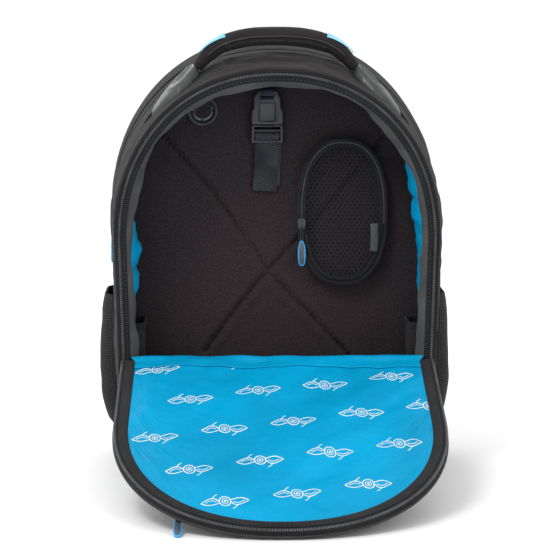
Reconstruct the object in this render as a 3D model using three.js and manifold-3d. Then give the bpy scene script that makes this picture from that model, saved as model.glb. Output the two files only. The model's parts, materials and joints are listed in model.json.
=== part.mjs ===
// A pilot's flight backpack, standing on its base with its front panel folded down.
// Units are millimetres: +X right as seen from the front, +Y to the back, +Z up.
// The origin is the middle of the underside of the base panel.
import * as THREE from "three";
import { mergeVertices } from "three/addons/utils/BufferGeometryUtils.js";
import Module from "manifold-3d";

const wasm = await Module();
wasm.setup();

// ---- Driving dimensions ----
const CLEAR = 0.3; // gap that touching pieces keep
const BITE = 1; // how far a cutter, or a piece made of two solids, reaches past the face it meets

const RIM_HALF = 152; // half width of the front rim at its waist
const RIM_TOP = 390; // top of the front rim
const FOOT_HALF = RIM_HALF - 6; // half width above the base corners
const FOOT_CORNER = 30; // radius of the base corners
const WAIST = RIM_TOP - 160; // height where the arched top begins
const REAR_HALF = RIM_HALF + 8; // half width at the back, at the waist
const REAR_TOP = RIM_TOP + 28; // top of the bag at the back
const ARCH_POWER = 2.15; // how square the arched top is: 2 is an ellipse
const ARCH_STEPS = 26; // flats round the arched top
const CORNER_STEPS = 4; // flats round a base corner

const RIM_Y = -85; // front edge of the side wall
const MAIN_DEPTH = 93; // from the front edge to the divider
const DIVIDER_T = 6;
const REAR_DEPTH = 71; // from the divider to the back panel
const BACK_T = 7;
const BASE_T = 4;
const WALL_T = 4; // side wall fabric and foam
const LINING_T = 1.6;
const DIVIDER_Y = RIM_Y + MAIN_DEPTH;
const REAR_Y = DIVIDER_Y + DIVIDER_T;
const BACK_Y = REAR_Y + REAR_DEPTH;

const FOLD_Z = 118; // height of the front panel's fold
const FLAP_REST = 10; // how far its lowest inner edge stays above the floor when it is folded down
const OPEN_ANGLE = Math.PI / 2 + Math.asin((FOLD_Z - FLAP_REST) / (RIM_TOP - FOLD_Z));
const HINGE_GAP = 6; // from the front edge to the fold line
const FLAP_BOARD_T = 6; // foam board of the front panel
const FLAP_FACE_T = 3; // edge trims on the inner face of the front panel
const FLAP_LINING_T = 1.6;
const FLAP_TAPE_W = 4;
const FLAP_BINDING_W = 8;
const FOLD_GAP = 1; // between the fold line and the front panel's lower edge
const BOARD_INSET = 0.5;
const FRONT_POCKET = { low: 22, top: RIM_TOP - FOLD_Z - 56, half: RIM_HALF - 26, thick: 9.5, inset: 17 };

const RIM_BINDING = { thick: 3, width: 14 }; // soft edge just inside the rim
const ZIP_TAPE = { from: 1, to: 7, thick: 4 }; // chain round the rim
const ZIP_LEG = { low: 24, high: FOLD_Z - 18 }; // its straight ends below the fold
const REAR_ZIP = { y: REAR_Y + 20, width: 8, deep: 2, low: WAIST - 54, proud: 1 };

const PORT = { x: -69.5, z: RIM_TOP - 53, hole: 13, flange: 16, bore: 11, thick: 2 };
const SLIT_W = 1;

const POUCH = { x: 66, z: RIM_TOP - 139, half: 44, tall: 72, power: 2.4, deep: 18, wall: 3, ring: 7, lip: 1 };
const POUCH_STEPS = 36;
const POUCH_RING_T = 3;
const POUCH_MESH_T = 1.4;
const POUCH_TAG = { width: 8, tall: 28, thick: 1.6, x: POUCH.x + 30, z: POUCH.z - 25 };

const SIDE_POCKET = {
  front: DIVIDER_Y - 16, back: BACK_Y - 9, out: RIM_HALF + 24, low: 40, top: 168, wall: 2.2, round: 22,
};
const MESH_POCKET = {
  front: RIM_Y + 23, back: DIVIDER_Y - 14, stand: 16, low: 16, top: 147, wall: 1.6, round: 8,
};

const HANDLE = { y: RIM_Y + 55, end: RIM_HALF - 70, endZ: RIM_TOP - 1, wide: 24, thick: 15 };
const HANDLE_TOP = RIM_TOP + 33.5; // centre line of the grip at its highest
const HANDLE_BEND = [[1, 0], [0.82, 0.36], [0.62, 0.69], [0.33, 0.93]]; // shares of its half span and rise
const HANDLE_STEPS = 22;
const HANDLE_SAMPLES = 200;
const ANCHOR = {
  inner: HANDLE.end + 5, outer: HANDLE.end + 39,
  low: RIM_TOP - 53, cheek: RIM_TOP - 31, high: RIM_TOP + 2, bend: 15, wide: 52,
};
const ACCENT = { inner: HANDLE.end - 23, outer: HANDLE.end - 6, wide: 8, thick: 1.4, stand: 1 };

const BUCKLE = {
  top: RIM_TOP - 20, join: RIM_TOP - 54, low: RIM_TOP - 72,
  wide: 31, neck: 18, thick: 11, tongue: 18, corner: 2,
};
const BUCKLE_WAIST = { deep: 2.5, from: 8, to: 18, flare: 2 }; // hollow sides of the socket, below its top
const BUCKLE_SLOTS = [4, 11]; // heights of the plug's webbing slots
const STRAP = { x: -8, y: DIVIDER_Y - 8, wide: 25, thick: 1.8, low: BUCKLE.low - 48 };
const STRAP_TAB = { low: BUCKLE.top + 3, top: BUCKLE.top + 9 };

const BACK_PAD = { wide: 92, x: 66, low: 120, top: RIM_TOP - 60, thick: 9, round: 20 };
const LUMBAR_PAD = { wide: 184, low: 34, top: 104, thick: 9, round: 18 };
const SHOULDER = {
  wide: 56, thick: 12, bow: 26, topX: 46, topZ: RIM_TOP - 18, lowX: 112, lowZ: 44, stand: 14,
};
const SHOULDER_PAD_SHARE = { from: 0.1, to: 0.7 }; // stretch of the strap that is padded, from its top
const SHOULDER_GAP = 0.004; // share of its length between two of its pieces
const SHOULDER_END = 0.015; // share of its length left at each sewn end
const SHOULDER_STEPS = { bow: 8, pad: 12, top: 3, buckle: 2, low: 6 };
const SHOULDER_WEB = { wide: 25, thick: 2.4 };
const SHOULDER_BUCKLE = { wide: 34, tall: 26, thick: 6 };
const YOKE = { half: 66, low: RIM_TOP - 28, top: RIM_TOP - 6, thick: 6 };
const WEDGE = { wide: 34, low: 20, top: 40, thick: 6 };

const SLIDER = { wide: 8, tall: 11, thick: 4.5 };
// hang: gap between a pull and the slider above it
const PULL = { neck: 3, neckLong: 9, wide: 8, long: 24, thick: 2.2, hang: 1.4 };
const LEG_SLIDER_Z = 46;
const SIDE_SLIDER_Z = WAIST + 8;
const POUCH_SLIDER_Z = POUCH.z - 11;
const POCKET_SLIDER_X = -92;

// ---- Places worked out from them ----
const BODY_FOOT = BASE_T + CLEAR;
const BODY_DEPTH = BACK_Y - RIM_Y;
const HINGE_Y = RIM_Y - HINGE_GAP;
const CORNER_X = FOOT_HALF - FOOT_CORNER;
const CORNER_TOP = BODY_FOOT + FOOT_CORNER;
const INNER = WALL_T + CLEAR + LINING_T + CLEAR; // inset of the inside of the main compartment
const MERGE = 1e-3;

// ---- Materials ----
const material = (color, roughness, metalness = 0) =>
  new THREE.MeshStandardMaterial({ color, roughness, metalness });
const SHELL = material(0x2f2d2e, 0.92);
const LINING = material(0x00a0dc, 0.45);
const TRIM = material(0x45464a, 0.85);
const PADDED = material(0x2b272a, 0.95);
const MESH = material(0x2a2a2c, 0.9);
const ZIP = material(0x242427, 0.5);
const PLASTIC = material(0x2d2f31, 0.45);
const RUBBER = material(0x5d6664, 0.6);
const ACCENT_BLUE = material(0x6cc6e4, 0.5);
const METAL = material(0x3a3c40, 0.35, 0.9);

// ---- Solids ----
function toSolid(geometry) {
  const bare = geometry.clone();
  bare.deleteAttribute("normal");
  bare.deleteAttribute("uv");
  const merged = mergeVertices(bare, MERGE);
  return new wasm.Manifold(
    new wasm.Mesh({
      numProp: 3,
      vertProperties: merged.attributes.position.array,
      triVerts: new Uint32Array(merged.index.array),
    }),
  );
}

function fromSolid(solid) {
  const { vertProperties, triVerts } = solid.getMesh();
  return new THREE.BufferGeometry()
    .setAttribute("position", new THREE.BufferAttribute(vertProperties, 3))
    .setIndex(new THREE.BufferAttribute(triVerts, 1));
}

const join = (first, ...rest) =>
  fromSolid(rest.reduce((whole, g) => whole.add(toSolid(g)), toSolid(first)));
const cut = (first, ...rest) =>
  fromSolid(rest.reduce((whole, g) => whole.subtract(toSolid(g)), toSolid(first)));
const keepInside = (first, limit) => fromSolid(toSolid(first).intersect(toSolid(limit)));

/** The same piece on the other side of the bag, still facing out. */
function mirrored(geometry) {
  const copy = geometry.index ? geometry.toNonIndexed() : geometry.clone();
  copy.scale(-1, 1, 1);
  const p = copy.attributes.position;
  const keep = new THREE.Vector3();
  const swap = new THREE.Vector3();
  for (let i = 0; i < p.count; i += 3) {
    keep.fromBufferAttribute(p, i + 1);
    swap.fromBufferAttribute(p, i + 2);
    p.setXYZ(i + 1, ...swap);
    p.setXYZ(i + 2, ...keep);
  }
  return copy;
}

/** How much wider, and how much taller, the body is at a depth than at its front edge. */
const depthShare = (y) => Math.max(0, y - RIM_Y) / BODY_DEPTH;
const widening = (y) => 1 + depthShare(y) * (REAR_HALF / RIM_HALF - 1);
const raising = (y) => 1 + depthShare(y) * (REAR_TOP / RIM_TOP - 1);

/** Widens and raises the body evenly from its front edge to its back. */
function spread(geometry) {
  const p = geometry.attributes.position;
  for (let i = 0; i < p.count; i++) {
    p.setX(i, p.getX(i) * widening(p.getY(i)));
    p.setZ(i, p.getZ(i) * raising(p.getY(i)));
  }
  return geometry;
}

/** A shape drawn in x and z, made solid from one y to another. */
function standing(shape, front, back) {
  const geometry = new THREE.ExtrudeGeometry(shape, { depth: back - front, bevelEnabled: false });
  return geometry.rotateX(Math.PI / 2).translate(0, back, 0);
}

/** A shape drawn in x and y, made solid from one height to another. */
function upright(shape, low, high) {
  const geometry = new THREE.ExtrudeGeometry(shape, { depth: high - low, bevelEnabled: false });
  return geometry.translate(0, 0, low);
}

const bodySolid = (shape, front, back) => spread(standing(shape, front, back));

function box(x0, x1, y0, y1, z0, z1) {
  const geometry = new THREE.BoxGeometry(x1 - x0, y1 - y0, z1 - z0);
  return geometry.translate((x0 + x1) / 2, (y0 + y1) / 2, (z0 + z1) / 2);
}

// ---- Outlines in x and z ----
function arc(cx, cz, rx, rz, from, to, steps, power = 2) {
  return Array.from({ length: steps + 1 }, (_, i) => {
    const a = from + ((to - from) * i) / steps;
    const bend = (v) => Math.sign(v) * Math.abs(v) ** (2 / power);
    return new THREE.Vector2(cx + rx * bend(Math.cos(a)), cz + rz * bend(Math.sin(a)));
  });
}

const archTop = (inset) =>
  arc(0, WAIST, RIM_HALF - inset, RIM_TOP - WAIST - inset, 0, Math.PI, ARCH_STEPS, ARCH_POWER);

/** Half width of the side wall at a height between the base corner and the waist. */
function sideX(z, inset) {
  return FOOT_HALF + ((RIM_HALF - FOOT_HALF) * (z - CORNER_TOP)) / (WAIST - CORNER_TOP) - inset;
}

/** The whole outline of the bag, pulled in all round by the inset. */
function bodyPoints(inset) {
  const r = FOOT_CORNER - inset;
  const right = arc(CORNER_X, CORNER_TOP, r, r, -Math.PI / 2, 0, CORNER_STEPS);
  const left = arc(-CORNER_X, CORNER_TOP, r, r, Math.PI, 1.5 * Math.PI, CORNER_STEPS);
  return [...right, ...archTop(inset), ...left];
}

const bodyShape = (inset) => new THREE.Shape(bodyPoints(inset));

function bodyRing(outer, inner) {
  const shape = bodyShape(outer);
  shape.holes.push(new THREE.Path(bodyPoints(inner)));
  return shape;
}

/** The part of the outline above a height, as a filled arch. */
function archPoints(inset, low) {
  return [
    new THREE.Vector2(sideX(low, inset), low),
    ...archTop(inset),
    new THREE.Vector2(-sideX(low, inset), low),
  ];
}

/** A band along the arch that is open at the bottom. */
const archBand = (outer, inner, low) =>
  new THREE.Shape([...archPoints(outer, low), ...archPoints(inner, low).reverse()]);

/** The outline below a height, flat across its top. */
function footShape(inset, high) {
  const r = FOOT_CORNER - inset;
  return new THREE.Shape([
    ...arc(CORNER_X, CORNER_TOP, r, r, -Math.PI / 2, 0, CORNER_STEPS),
    new THREE.Vector2(sideX(high, inset), high),
    new THREE.Vector2(-sideX(high, inset), high),
    ...arc(-CORNER_X, CORNER_TOP, r, r, Math.PI, 1.5 * Math.PI, CORNER_STEPS),
  ]);
}

function roundedRect(x0, x1, z0, z1, r) {
  return new THREE.Shape([
    ...arc(x1 - r, z0 + r, r, r, -Math.PI / 2, 0, CORNER_STEPS),
    ...arc(x1 - r, z1 - r, r, r, 0, Math.PI / 2, CORNER_STEPS),
    ...arc(x0 + r, z1 - r, r, r, Math.PI / 2, Math.PI, CORNER_STEPS),
    ...arc(x0 + r, z0 + r, r, r, Math.PI, 1.5 * Math.PI, CORNER_STEPS),
  ]);
}

const polygon = (points) => new THREE.Shape(points.map(([x, z]) => new THREE.Vector2(x, z)));

// ---- The scene graph ----
const bag = new THREE.Group();

function add(name, geometry, finish, parent = bag) {
  geometry.computeVertexNormals();
  const mesh = new THREE.Mesh(geometry, finish);
  mesh.name = name;
  parent.add(mesh);
  return mesh;
}

function addPair(name, geometry, finish, parent = bag) {
  add(`${name}_right`, geometry, finish, parent);
  add(`${name}_left`, mirrored(geometry), finish, parent);
}

/** Everything within the outline of the bag, a little proud of it. */
const envelope = () => bodySolid(bodyShape(-CLEAR), RIM_Y, BACK_Y + BACK_T);

// ---- Body: base, walls, divider and back ----
function addBody() {
  const base = roundedRect(-CORNER_X, CORNER_X, RIM_Y + BASE_T, BACK_Y - BASE_T, FOOT_CORNER / 2);
  add("base_panel", upright(base, 0, BASE_T), SHELL);
  add("main_gusset", bodySolid(bodyRing(0, WALL_T), RIM_Y, DIVIDER_Y - CLEAR), SHELL);

  const behindBinding = RIM_Y + RIM_BINDING.width + CLEAR;
  const lining = bodyRing(WALL_T + CLEAR, WALL_T + CLEAR + LINING_T);
  add("main_lining", bodySolid(lining, behindBinding, DIVIDER_Y - CLEAR), LINING);
  const soft = archBand(WALL_T + CLEAR, WALL_T + CLEAR + RIM_BINDING.thick, FOLD_Z);
  add("rim_binding", bodySolid(soft, RIM_Y, RIM_Y + RIM_BINDING.width), TRIM);
  const lower = footShape(WALL_T + CLEAR, FOLD_Z - CLEAR);
  add("front_lower_panel", bodySolid(lower, RIM_Y, RIM_Y + WALL_T), SHELL);

  const wall = bodySolid(bodyRing(0, WALL_T), REAR_Y + CLEAR, BACK_Y - CLEAR);
  const groove = bodySolid(
    archBand(-WALL_T, REAR_ZIP.deep, REAR_ZIP.low - CLEAR),
    REAR_ZIP.y - CLEAR,
    REAR_ZIP.y + REAR_ZIP.width + CLEAR,
  );
  add("rear_gusset", cut(wall, groove), SHELL);
  const chain = archBand(-REAR_ZIP.proud, REAR_ZIP.deep - CLEAR, REAR_ZIP.low);
  add("rear_zip_chain", bodySolid(chain, REAR_ZIP.y, REAR_ZIP.y + REAR_ZIP.width), ZIP);
  add("back_panel", bodySolid(bodyShape(0), BACK_Y, BACK_Y + BACK_T), PADDED);
}

function addDivider() {
  const panel = bodyShape(0);
  panel.holes.push(new THREE.Path(arc(PORT.x, PORT.z, PORT.hole, PORT.hole, 0, 2 * Math.PI, ARCH_STEPS)));
  add("divider_panel", spread(standing(panel, DIVIDER_Y, REAR_Y)), PADDED);
}

/** The rubber cable port: a flanged ring closed by a skin with crossed slits. */
function addCablePort() {
  const bore = PORT.bore;
  const barrel = PORT.hole - 2 * CLEAR;
  const back = DIVIDER_T - CLEAR;
  const profile = [
    [bore, -PORT.thick],
    [PORT.flange, -PORT.thick],
    [PORT.flange, -CLEAR],
    [barrel, -CLEAR],
    [barrel, back],
    [bore, back],
    [bore, -PORT.thick],
  ].map(([r, y]) => new THREE.Vector2(r, y));
  const ring = new THREE.LatheGeometry(profile, ARCH_STEPS);
  const skin = new THREE.CylinderGeometry(bore + CLEAR, bore + CLEAR, PORT.thick, ARCH_STEPS);
  const half = SLIT_W / 2;
  const reach = bore - PORT.thick;
  const slits = [box(-reach, reach, -back, back, -half, half), box(-half, half, -back, back, -reach, reach)];
  const port = join(ring, cut(skin, ...slits));
  const middle = [PORT.x * widening(DIVIDER_Y), DIVIDER_Y, PORT.z * raising(DIVIDER_Y)];
  add("cable_port", port.translate(...middle), RUBBER);
}

// ---- Rim zip: the arch above the fold and its straight ends below ----
function addRimZip() {
  const front = RIM_Y - ZIP_TAPE.thick;
  const back = RIM_Y - CLEAR;
  add("rim_zip_tape", standing(archBand(ZIP_TAPE.from, ZIP_TAPE.to, FOLD_Z), front, back), ZIP);
  const leg = polygon([
    [sideX(ZIP_LEG.low, ZIP_TAPE.to), ZIP_LEG.low],
    [sideX(ZIP_LEG.low, ZIP_TAPE.from), ZIP_LEG.low],
    [sideX(ZIP_LEG.high, ZIP_TAPE.from), ZIP_LEG.high],
    [sideX(ZIP_LEG.high, ZIP_TAPE.to), ZIP_LEG.high],
  ]);
  addPair("rim_zip_leg", standing(leg, front, back), ZIP);
}

// ---- Sliders and pulls, hung from the point that they turn about ----
function sliderBlock() {
  const { wide, tall, thick } = SLIDER;
  return standing(roundedRect(-wide / 2, wide / 2, -tall / 2, tall / 2, wide / 4), -thick, 0);
}

function pullTab() {
  const neck = PULL.neck / 2;
  const half = PULL.wide / 2;
  const top = -PULL.hang - PULL.neckLong;
  const end = arc(0, top - PULL.long + half, half, half, 0, -Math.PI, CORNER_STEPS * 2);
  const outline = new THREE.Shape([
    new THREE.Vector2(-neck, -PULL.hang),
    new THREE.Vector2(-neck, top),
    new THREE.Vector2(-half, top - neck),
    ...end.reverse(),
    new THREE.Vector2(half, top - neck),
    new THREE.Vector2(neck, top),
    new THREE.Vector2(neck, -PULL.hang),
  ]);
  return standing(outline, -PULL.thick, 0);
}

/** A slider whose back touches a face, with its pull hanging from its lower edge. */
function addSliderAndPull(name, parent, x, y, z, turn = 0) {
  const group = new THREE.Group();
  group.position.set(x, y, z);
  group.rotation.z = turn;
  parent.add(group);
  add(`${name}_slider`, sliderBlock(), METAL, group);
  const hung = pullTab().translate(0, -SLIDER.thick / 2, -SLIDER.tall / 2);
  add(`${name}_pull`, hung, LINING, group);
}

function addBodySliders() {
  const legX = sideX(LEG_SLIDER_Z, (ZIP_TAPE.from + ZIP_TAPE.to) / 2);
  const legY = RIM_Y - ZIP_TAPE.thick - CLEAR;
  addSliderAndPull("main_left", bag, -legX, legY, LEG_SLIDER_Z);
  addSliderAndPull("main_right", bag, legX, legY, LEG_SLIDER_Z);

  const chainY = REAR_ZIP.y + REAR_ZIP.width / 2;
  const sideOut = (RIM_HALF + REAR_ZIP.proud) * widening(chainY) + CLEAR;
  addSliderAndPull("side", bag, -sideOut, chainY, SIDE_SLIDER_Z, -Math.PI / 2);
}

// ---- Oval mesh pouch on the divider ----
function ovalPoints(inset) {
  const points = arc(
    POUCH.x, POUCH.z, POUCH.half - inset, POUCH.tall - inset, 0, 2 * Math.PI, POUCH_STEPS, POUCH.power,
  );
  return points.slice(0, -1);
}

function ovalRing(outer, inner) {
  const shape = new THREE.Shape(ovalPoints(outer));
  shape.holes.push(new THREE.Path(ovalPoints(inner)));
  return shape;
}

function addPouch() {
  const front = DIVIDER_Y - POUCH.deep;
  add("pouch_gusset", standing(ovalRing(POUCH.lip, POUCH.lip + POUCH.wall), front, DIVIDER_Y - CLEAR), SHELL);
  const face = front - CLEAR;
  add("pouch_zip_ring", standing(ovalRing(0, POUCH.ring), face - POUCH_RING_T, face), ZIP);
  const net = new THREE.Shape(ovalPoints(POUCH.ring + CLEAR));
  add("pouch_mesh", standing(net, face - POUCH_MESH_T, face), MESH);
  const { width, tall, thick, x, z } = POUCH_TAG;
  const tag = roundedRect(x - width / 2, x + width / 2, z - tall / 2, z + tall / 2, thick);
  const tagBack = face - POUCH_RING_T - CLEAR;
  add("pouch_tag", standing(tag, tagBack - thick, tagBack), TRIM);
  addSliderAndPull("pouch", bag, POUCH.x - POUCH.half + POUCH.ring / 2, tagBack, POUCH_SLIDER_Z);
}

// ---- Pockets: open at the top, held to the walls at their edges ----
function pocketBlock(reach, front, back, root, low, top, round) {
  const profile = [
    [root, front],
    [reach - round, front],
    [reach, front + round],
    [reach, back - round],
    [reach - round, back],
    [root, back],
  ];
  return upright(new THREE.Shape(profile.map(([x, y]) => new THREE.Vector2(x, y))), low, top);
}

function addSidePockets() {
  const { front, back, out, low, top, wall, round } = SIDE_POCKET;
  const outer = pocketBlock(out, front, back, CORNER_X, low, top, round);
  const room = [out - wall, front + wall, back - wall, CORNER_X - BITE, low + wall, top + BITE];
  const inner = pocketBlock(...room, round);
  addPair("side_pocket", cut(outer, inner, envelope()), MESH);
}

function addMeshPockets() {
  const { front, back, stand, low, top, wall, round } = MESH_POCKET;
  const face = sideX(top, INNER) - stand;
  const root = RIM_HALF + WALL_T;
  const flip = (reach, y0, y1, z0, z1) => {
    const profile = [
      [root, y0],
      [root, y1],
      [reach + round, y1],
      [reach, y1 - round],
      [reach, y0 + round],
      [reach + round, y0],
    ];
    return upright(new THREE.Shape(profile.map(([x, y]) => new THREE.Vector2(x, y))), z0, z1);
  };
  const outer = flip(face, front, back, low, top);
  const inner = flip(face + wall, front + wall, back - wall, low + wall, top + BITE);
  const room = bodySolid(bodyShape(INNER), RIM_Y, DIVIDER_Y - CLEAR);
  addPair("inner_mesh_pocket", keepInside(cut(outer, inner), room), MESH);
}

// ---- Carry handle and its moulded ends ----
function section(width, height) {
  const r = Math.min(width, height) / 3;
  return roundedRect(-width / 2, width / 2, -height / 2, height / 2, r);
}

function sweep(points, width, height, steps) {
  const path = new THREE.CatmullRomCurve3(points.map(([x, y, z]) => new THREE.Vector3(x, y, z)));
  return new THREE.ExtrudeGeometry(section(width, height), { steps, extrudePath: path, bevelEnabled: false });
}

function handlePoints() {
  const { y, end, endZ } = HANDLE;
  const rise = HANDLE_TOP - endZ;
  const right = HANDLE_BEND.map(([span, share]) => [span * end, y, endZ + share * rise]);
  const left = right.map(([x, , z]) => [-x, y, z]);
  return [...left, [0, y, HANDLE_TOP], ...right.reverse()];
}

function addHandle() {
  const swing = new THREE.Group();
  bag.add(swing);
  add("handle_grip", sweep(handlePoints(), HANDLE.wide, HANDLE.thick, HANDLE_STEPS), SHELL, swing);
  const { inner, outer, wide, thick, stand } = ACCENT;
  const path = new THREE.CatmullRomCurve3(handlePoints().map(([x, y, z]) => new THREE.Vector3(x, y, z)));
  const samples = path.getPoints(HANDLE_SAMPLES);
  const onTop = (x) => samples.reduce((a, b) => (Math.abs(b.x - x) < Math.abs(a.x - x) ? b : a)).z;
  const lean = Math.atan2(onTop(inner) - onTop(outer), outer - inner);
  const middle = (inner + outer) / 2;
  const length = (outer - inner) / Math.cos(lean);
  const lift = HANDLE.thick / 2 + stand + CLEAR;
  const strip = box(-length / 2, length / 2, -wide / 2, wide / 2, 0, thick).rotateY(lean);
  const mid = [middle + lift * Math.sin(lean), HANDLE.y, onTop(middle) + lift * Math.cos(lean)];
  addPair("handle_accent", strip.translate(...mid), ACCENT_BLUE, swing);
}

function addAnchors() {
  const { inner, outer, low, cheek, high, bend, wide } = ANCHOR;
  const third = (outer - inner) / 3;
  const block = polygon([
    [inner, low],
    [outer, low],
    [outer, cheek],
    [outer - third, high - bend],
    [inner + third / 2, high],
    [inner, high],
  ]);
  const solid = standing(block, HANDLE.y - wide / 2, HANDLE.y + wide / 2);
  addPair("handle_anchor", cut(solid, envelope()), RUBBER);
}

// ---- Headset strap with its side-release buckle ----
function addHeadsetStrap() {
  const { x, y, wide, thick, low } = STRAP;
  const { top, join: seam, low: foot, wide: body, neck, thick: deep, tongue, corner } = BUCKLE;
  const half = body / 2;
  const tab = box(x - neck / 2, x + neck / 2, y - thick, y + thick, STRAP_TAB.low, STRAP_TAB.top);
  add("strap_tab", tab, TRIM);

  const { deep: hollow, from, to, flare } = BUCKLE_WAIST;
  const profile = [
    [neck / 2, top],
    [half - hollow, top - from],
    [half - hollow, top - to],
    [half, top - to - flare],
    [half, seam + CLEAR],
  ];
  const leftSide = profile.map(([out, z]) => [x - out, z]);
  const rightSide = profile.map(([out, z]) => [x + out, z]).reverse();
  const socketOutline = polygon([...leftSide, ...rightSide]);
  const tongueThick = deep / 2;
  const mouth = box(
    x - tongue / 2, x + tongue / 2,
    y - tongueThick / 2, y + tongueThick / 2,
    seam - BITE, seam + tongue + BITE,
  );
  add("buckle_socket", cut(standing(socketOutline, y - deep / 2, y + deep / 2), mouth), PLASTIC);

  const ladder = standing(roundedRect(x - half, x + half, foot, seam, corner), y - deep / 3, y + deep / 3);
  const slots = BUCKLE_SLOTS.map((rise) =>
    box(x - wide / 2, x + wide / 2, y - deep, y + deep, foot + rise, foot + rise + thick),
  );
  const blade = box(
    x - tongue / 2 + CLEAR, x + tongue / 2 - CLEAR,
    y - tongueThick / 2 + CLEAR, y + tongueThick / 2 - CLEAR, seam - BITE, seam + tongue,
  );
  add("buckle_plug", join(cut(ladder, ...slots), blade), PLASTIC);
  const back = y + deep / 3 + CLEAR;
  add("strap_webbing", box(x - wide / 2, x + wide / 2, back, back + thick, low, seam - BITE), TRIM);
}

// ---- Front panel, drawn shut and then folded down about its hinge ----
function addFrontPanel() {
  const panel = new THREE.Group();
  panel.position.set(0, HINGE_Y, FOLD_Z);
  panel.rotation.x = OPEN_ANGLE;
  bag.add(panel);
  const place = (geometry) => geometry.translate(0, 0, -FOLD_Z);
  const low = FOLD_Z + FOLD_GAP;
  const face = -CLEAR;
  const tape = archBand(0, FLAP_TAPE_W, low);
  add("front_panel_zip_tape", place(standing(tape, face - FLAP_FACE_T, face)), ZIP, panel);
  const bindingIn = FLAP_TAPE_W + CLEAR + FLAP_BINDING_W;
  const binding = archBand(FLAP_TAPE_W + CLEAR, bindingIn, low);
  add("front_panel_binding", place(standing(binding, face - FLAP_FACE_T, face)), TRIM, panel);
  const inside = new THREE.Shape(archPoints(bindingIn + CLEAR, low));
  const liningBack = face - FLAP_FACE_T + FLAP_LINING_T;
  add("front_panel_lining", place(standing(inside, face - FLAP_FACE_T, liningBack)), LINING, panel);
  const boardBack = face - FLAP_FACE_T - CLEAR;
  const board = new THREE.Shape(archPoints(BOARD_INSET, low));
  add("front_panel_board", place(standing(board, boardBack - FLAP_BOARD_T, boardBack)), SHELL, panel);

  const { low: pocketLow, top, half, thick, inset } = FRONT_POCKET;
  const pocketBack = boardBack - FLAP_BOARD_T - CLEAR;
  const area = new THREE.Shape(archPoints(inset, FOLD_Z + pocketLow));
  const limit = box(-half, half, pocketBack - thick, pocketBack, FOLD_Z, FOLD_Z + top);
  const pocket = keepInside(standing(area, pocketBack - thick, pocketBack), limit);
  add("front_pocket", place(pocket), SHELL, panel);

  const group = new THREE.Group();
  group.position.set(POCKET_SLIDER_X, pocketBack, 0);
  panel.add(group);
  const sliderZ = top + CLEAR + SLIDER.tall / 2;
  add("pocket_slider", sliderBlock().translate(0, 0, sliderZ), METAL, group);
  const flipped = pullTab().rotateY(Math.PI).translate(0, -SLIDER.thick / 2, 0);
  add("pocket_pull", flipped.translate(0, 0, sliderZ + SLIDER.tall / 2), LINING, group);
}

// ---- Back: pads, shoulder straps and what they are sewn to ----
function addBackPads() {
  const face = BACK_Y + BACK_T + CLEAR;
  const { wide, x, low, top, thick, round } = BACK_PAD;
  const pad = roundedRect(x - wide / 2, x + wide / 2, low, top, round);
  addPair("back_pad", standing(pad, face, face + thick), MESH);
  const lumbar = LUMBAR_PAD;
  const plate = roundedRect(-lumbar.wide / 2, lumbar.wide / 2, lumbar.low, lumbar.top, lumbar.round);
  add("lumbar_pad", standing(plate, face, face + lumbar.thick), MESH);
  const yoke = roundedRect(-YOKE.half, YOKE.half, YOKE.low, YOKE.top, YOKE.thick);
  add("strap_yoke", standing(yoke, face, face + YOKE.thick), SHELL);
  const wedge = roundedRect(
    SHOULDER.lowX - WEDGE.wide / 2, SHOULDER.lowX + WEDGE.wide / 2, WEDGE.low, WEDGE.top, WEDGE.thick / 2,
  );
  addPair("strap_wedge", standing(wedge, face, face + WEDGE.thick), SHELL);
}

/** A bowed strap in its own frame: x away from the back, z from the lower end to the upper. */
function bowed(from, to, width, height, length, steps) {
  const count = SHOULDER_STEPS.bow;
  const points = Array.from({ length: count + 1 }, (_, i) => {
    const share = from + ((to - from) * i) / count;
    return [SHOULDER.bow * Math.sin(Math.PI * share), 0, share * length];
  });
  return sweep(points, width, height, steps);
}

function addShoulderStraps() {
  const start = BACK_Y + BACK_T + SHOULDER.stand;
  for (const [side, name] of [[1, "right"], [-1, "left"]]) {
    const low = new THREE.Vector3(side * SHOULDER.lowX, start, SHOULDER.lowZ);
    const high = new THREE.Vector3(side * SHOULDER.topX, start, SHOULDER.topZ);
    const along = high.clone().sub(low);
    const length = along.length();
    const up = along.normalize();
    const out = new THREE.Vector3(0, 1, 0);
    const across = up.clone().cross(out);
    const strap = new THREE.Group();
    strap.setRotationFromMatrix(new THREE.Matrix4().makeBasis(out, across, up));
    strap.position.copy(low);
    bag.add(strap);
    const padLow = 1 - SHOULDER_PAD_SHARE.to;
    const padHigh = 1 - SHOULDER_PAD_SHARE.from;
    const buckleHigh = padLow - SHOULDER_GAP;
    const buckleLow = buckleHigh - SHOULDER_BUCKLE.tall / length;
    const { pad, top, buckle, low: lower } = SHOULDER_STEPS;
    const piece = (kind, finish, from, to, { wide, thick }, steps) =>
      add(`shoulder_${kind}_${name}`, bowed(from, to, wide, thick, length, steps), finish, strap);
    piece("pad", PADDED, padLow, padHigh, SHOULDER, pad);
    piece("top_webbing", TRIM, padHigh + SHOULDER_GAP, 1 - SHOULDER_END, SHOULDER_WEB, top);
    piece("adjuster", PLASTIC, buckleLow, buckleHigh, SHOULDER_BUCKLE, buckle);
    piece("low_webbing", TRIM, SHOULDER_END, buckleLow - SHOULDER_GAP, SHOULDER_WEB, lower);
  }
}

addBody();
addDivider();
addCablePort();
addRimZip();
addBodySliders();
addPouch();
addSidePockets();
addMeshPockets();
addHandle();
addAnchors();
addHeadsetStrap();
addFrontPanel();
addBackPads();
addShoulderStraps();

export default bag;
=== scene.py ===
import json
import math

import bmesh
import bpy
import numpy as np
from mathutils import Matrix, Vector, noise


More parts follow.
